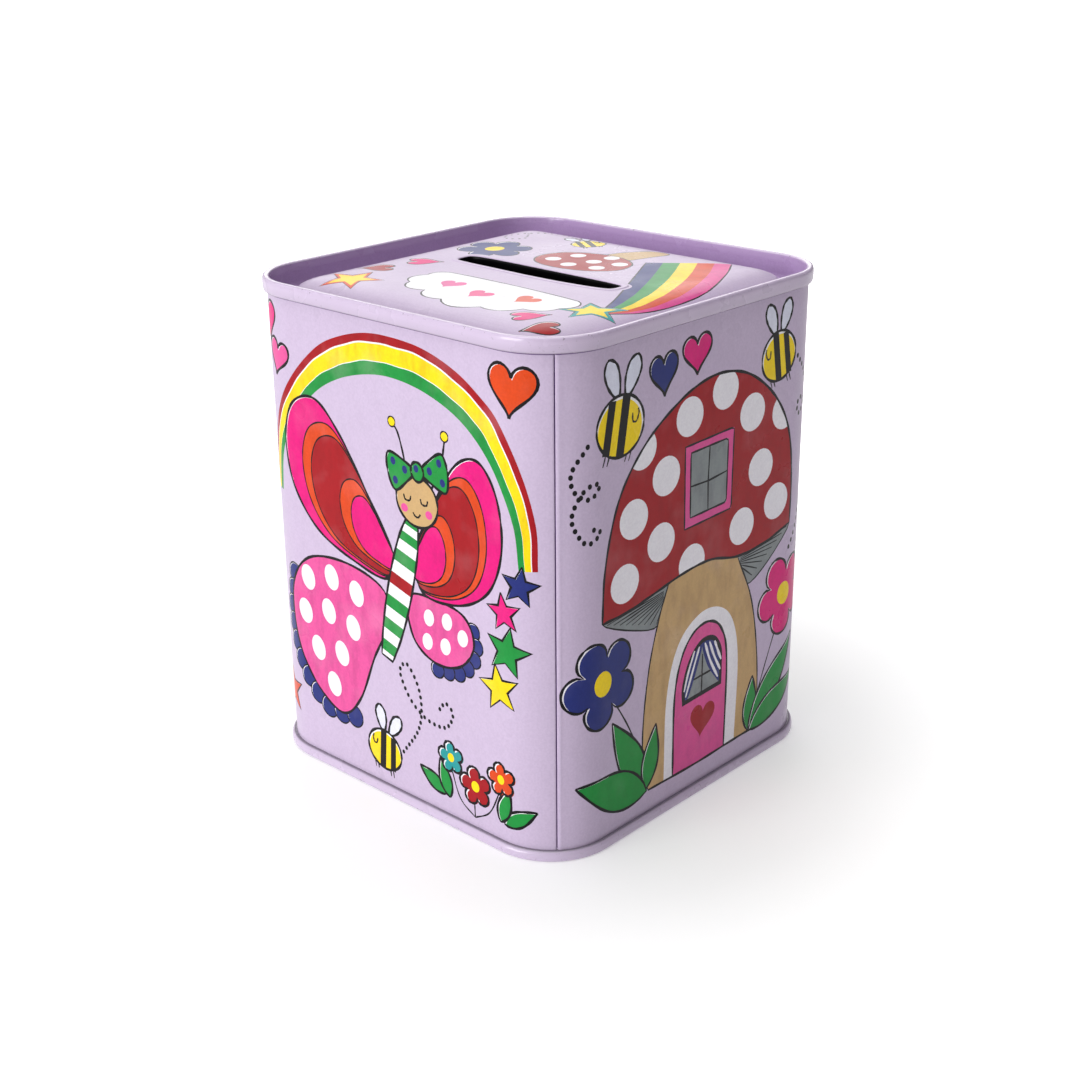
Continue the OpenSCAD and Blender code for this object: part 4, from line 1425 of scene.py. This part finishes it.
def build_floor():
    """Pale floor: a flat square grid that reaches far out of view."""
    steps = np.linspace(-9, 9, 61)
    x, y = np.meshgrid(steps, steps, indexing="ij")
    points = np.stack([x, y, np.zeros_like(x)], axis=-1).reshape(-1, 3)
    mesh = bpy.data.meshes.new("floor")
    mesh.from_pydata(points.tolist(), [], grid_faces(61, 61, False).tolist())
    mesh.materials.append(floor_material())
    floor = bpy.data.objects.new("floor", mesh)
    bpy.context.scene.collection.objects.link(floor)


def build_camera():
    """Camera: placed by its bearing round the box, its height and a slight roll."""
    bearing, lift, roll = (math.radians(a) for a in (43.273, 21.528, -0.687))
    back = Vector((math.sin(bearing) * math.cos(lift), -math.cos(bearing) * math.cos(lift),
                   math.sin(lift)))
    right = Vector((math.cos(bearing), math.sin(bearing), 0))
    up = back.cross(right)
    side = right * math.cos(roll) + up * math.sin(roll)
    rise = up * math.cos(roll) - right * math.sin(roll)
    lens = bpy.data.cameras.new("camera")
    lens.lens = 55.98
    lens.sensor_width = 36
    lens.shift_x = 0.01078
    lens.shift_y = -0.0023
    lens.clip_start = 0.01
    camera = bpy.data.objects.new("camera", lens)
    turn = Matrix((side, rise, back)).transposed().to_4x4()
    camera.matrix_world = Matrix.Translation((0.22688, -0.24497, 0.17736)) @ turn
    bpy.context.scene.collection.objects.link(camera)
    bpy.context.scene.camera = camera


def build_world(bright, dim):
    """Room light: white, bright towards the front left and dimmer behind the
    right side. Looked at straight, the room is white all round."""
    world = bpy.data.worlds.new("studio")
    world.use_nodes = True
    tree = world.node_tree
    way = add_node(tree, "ShaderNodeTexCoord").outputs["Generated"]
    facing = add_node(tree, "ShaderNodeVectorMath", {0: way, 1: (0.7, 0.7, 0)}, operation="DOT_PRODUCT")
    light = spread(tree, facing.outputs["Value"], -0.6, 0.8, bright, dim)
    seen = add_node(tree, "ShaderNodeLightPath").outputs["Is Camera Ray"]
    strength = math_node(tree, "MAXIMUM", light, seen)
    background = tree.nodes["Background"]
    background.inputs["Color"].default_value = (1, 1, 1, 1)
    tree.links.new(strength, background.inputs["Strength"])
    bpy.context.scene.world = world


# ----------------------------------------------------------------- operators

class PieceOperator:
    """What the piece operators share: they build one piece, or stop."""
    bl_options = {"REGISTER", "UNDO"}
    build = None

    def execute(self, context):
        piece = type(self).build(sizes())
        if piece is None or not piece.data.polygons:
            raise RuntimeError(f"{self.bl_label} made no faces")
        return {"FINISHED"}


class MONEYBOX_OT_wall(PieceOperator, bpy.types.Operator):
    """Build the printed wall with its side seam"""
    bl_idname = "moneybox.wall"
    bl_label = "Printed Wall"
    build = staticmethod(build_body_wall)


class MONEYBOX_OT_lock(PieceOperator, bpy.types.Operator):
    """Build the lock strip inside the side seam"""
    bl_idname = "moneybox.lock"
    bl_label = "Side Seam Lock"
    build = staticmethod(build_lock_strip)


class MONEYBOX_OT_top(PieceOperator, bpy.types.Operator):
    """Build the printed top panel with its gutter"""
    bl_idname = "moneybox.top"
    bl_label = "Printed Top"
    build = staticmethod(build_top_panel)


class MONEYBOX_OT_slot(PieceOperator, bpy.types.Operator):
    """Build the raised collar of the coin slot"""
    bl_idname = "moneybox.slot"
    bl_label = "Slot Collar"
    build = staticmethod(build_slot_collar)


class MONEYBOX_OT_top_rim(PieceOperator, bpy.types.Operator):
    """Build the rolled seam round the top"""
    bl_idname = "moneybox.top_rim"
    bl_label = "Top Rim"
    build = staticmethod(build_top_rim)


class MONEYBOX_OT_base_rim(PieceOperator, bpy.types.Operator):
    """Build the rolled seam that the box stands on"""
    bl_idname = "moneybox.base_rim"
    bl_label = "Base Rim"
    build = staticmethod(build_base_rim)


class MONEYBOX_OT_base(PieceOperator, bpy.types.Operator):
    """Build the base floor with the stopper's seat"""
    bl_idname = "moneybox.base"
    bl_label = "Base Floor"
    build = staticmethod(build_base_panel)


class MONEYBOX_OT_stopper(PieceOperator, bpy.types.Operator):
    """Build the plastic stopper with its pull bar"""
    bl_idname = "moneybox.stopper"
    bl_label = "Stopper"
    build = staticmethod(build_stopper)


class MONEYBOX_OT_stage(bpy.types.Operator):
    """Set up the floor, the lights and the camera"""
    bl_idname = "moneybox.stage"
    bl_label = "Studio Stage"
    bl_options = {"REGISTER", "UNDO"}

    def execute(self, context):
        context.scene.view_settings.view_transform = "Standard"
        build_floor()
        build_world(0.46, 0.05)
        centre = (0, 0, 0.05)
        area_light("key", (-0.25, -1.4, 0.25), centre, 0.8, 13.5)
        area_light("overhead", (-0.1, -0.1, 1.4), centre, 1.2, 13)
        area_light("back", (-0.9, 0.95, 0.75), centre, 0.9, 5)
        build_camera()
        return {"FINISHED"}


PIECES = (MONEYBOX_OT_wall, MONEYBOX_OT_lock, MONEYBOX_OT_top, MONEYBOX_OT_slot, MONEYBOX_OT_top_rim,
          MONEYBOX_OT_base_rim, MONEYBOX_OT_base, MONEYBOX_OT_stopper, MONEYBOX_OT_stage)


class MONEYBOX_PT_panel(bpy.types.Panel):
    """The money box's sizes, colours and build steps"""
    bl_idname = "MONEYBOX_PT_panel"
    bl_label = "Money Box"
    bl_space_type = "VIEW_3D"
    bl_region_type = "UI"
    bl_category = "Money Box"

    def draw(self, context):
        for group in (context.scene.money_box_sizes, context.scene.money_box_colours):
            column = self.layout.column(align=True)
            for name in type(group).__annotations__:
                column.prop(group, name)
        for piece in PIECES:
            self.layout.operator(piece.bl_idname)


CLASSES = (MoneyBoxSizes, MoneyBoxColours, *PIECES, MONEYBOX_PT_panel)


def register():
    for item in CLASSES:
        bpy.utils.register_class(item)
    bpy.types.Scene.money_box_sizes = PointerProperty(type=MoneyBoxSizes)
    bpy.types.Scene.money_box_colours = PointerProperty(type=MoneyBoxColours)


def unregister():
    del bpy.types.Scene.money_box_colours
    del bpy.types.Scene.money_box_sizes
    for item in reversed(CLASSES):
        bpy.utils.unregister_class(item)


def main():
    register()
    for piece in PIECES:
        space, name = piece.bl_idname.split(".")
        getattr(getattr(bpy.ops, space), name)()
    bpy.context.view_layer.update()


if __name__ == "__main__":
    main()
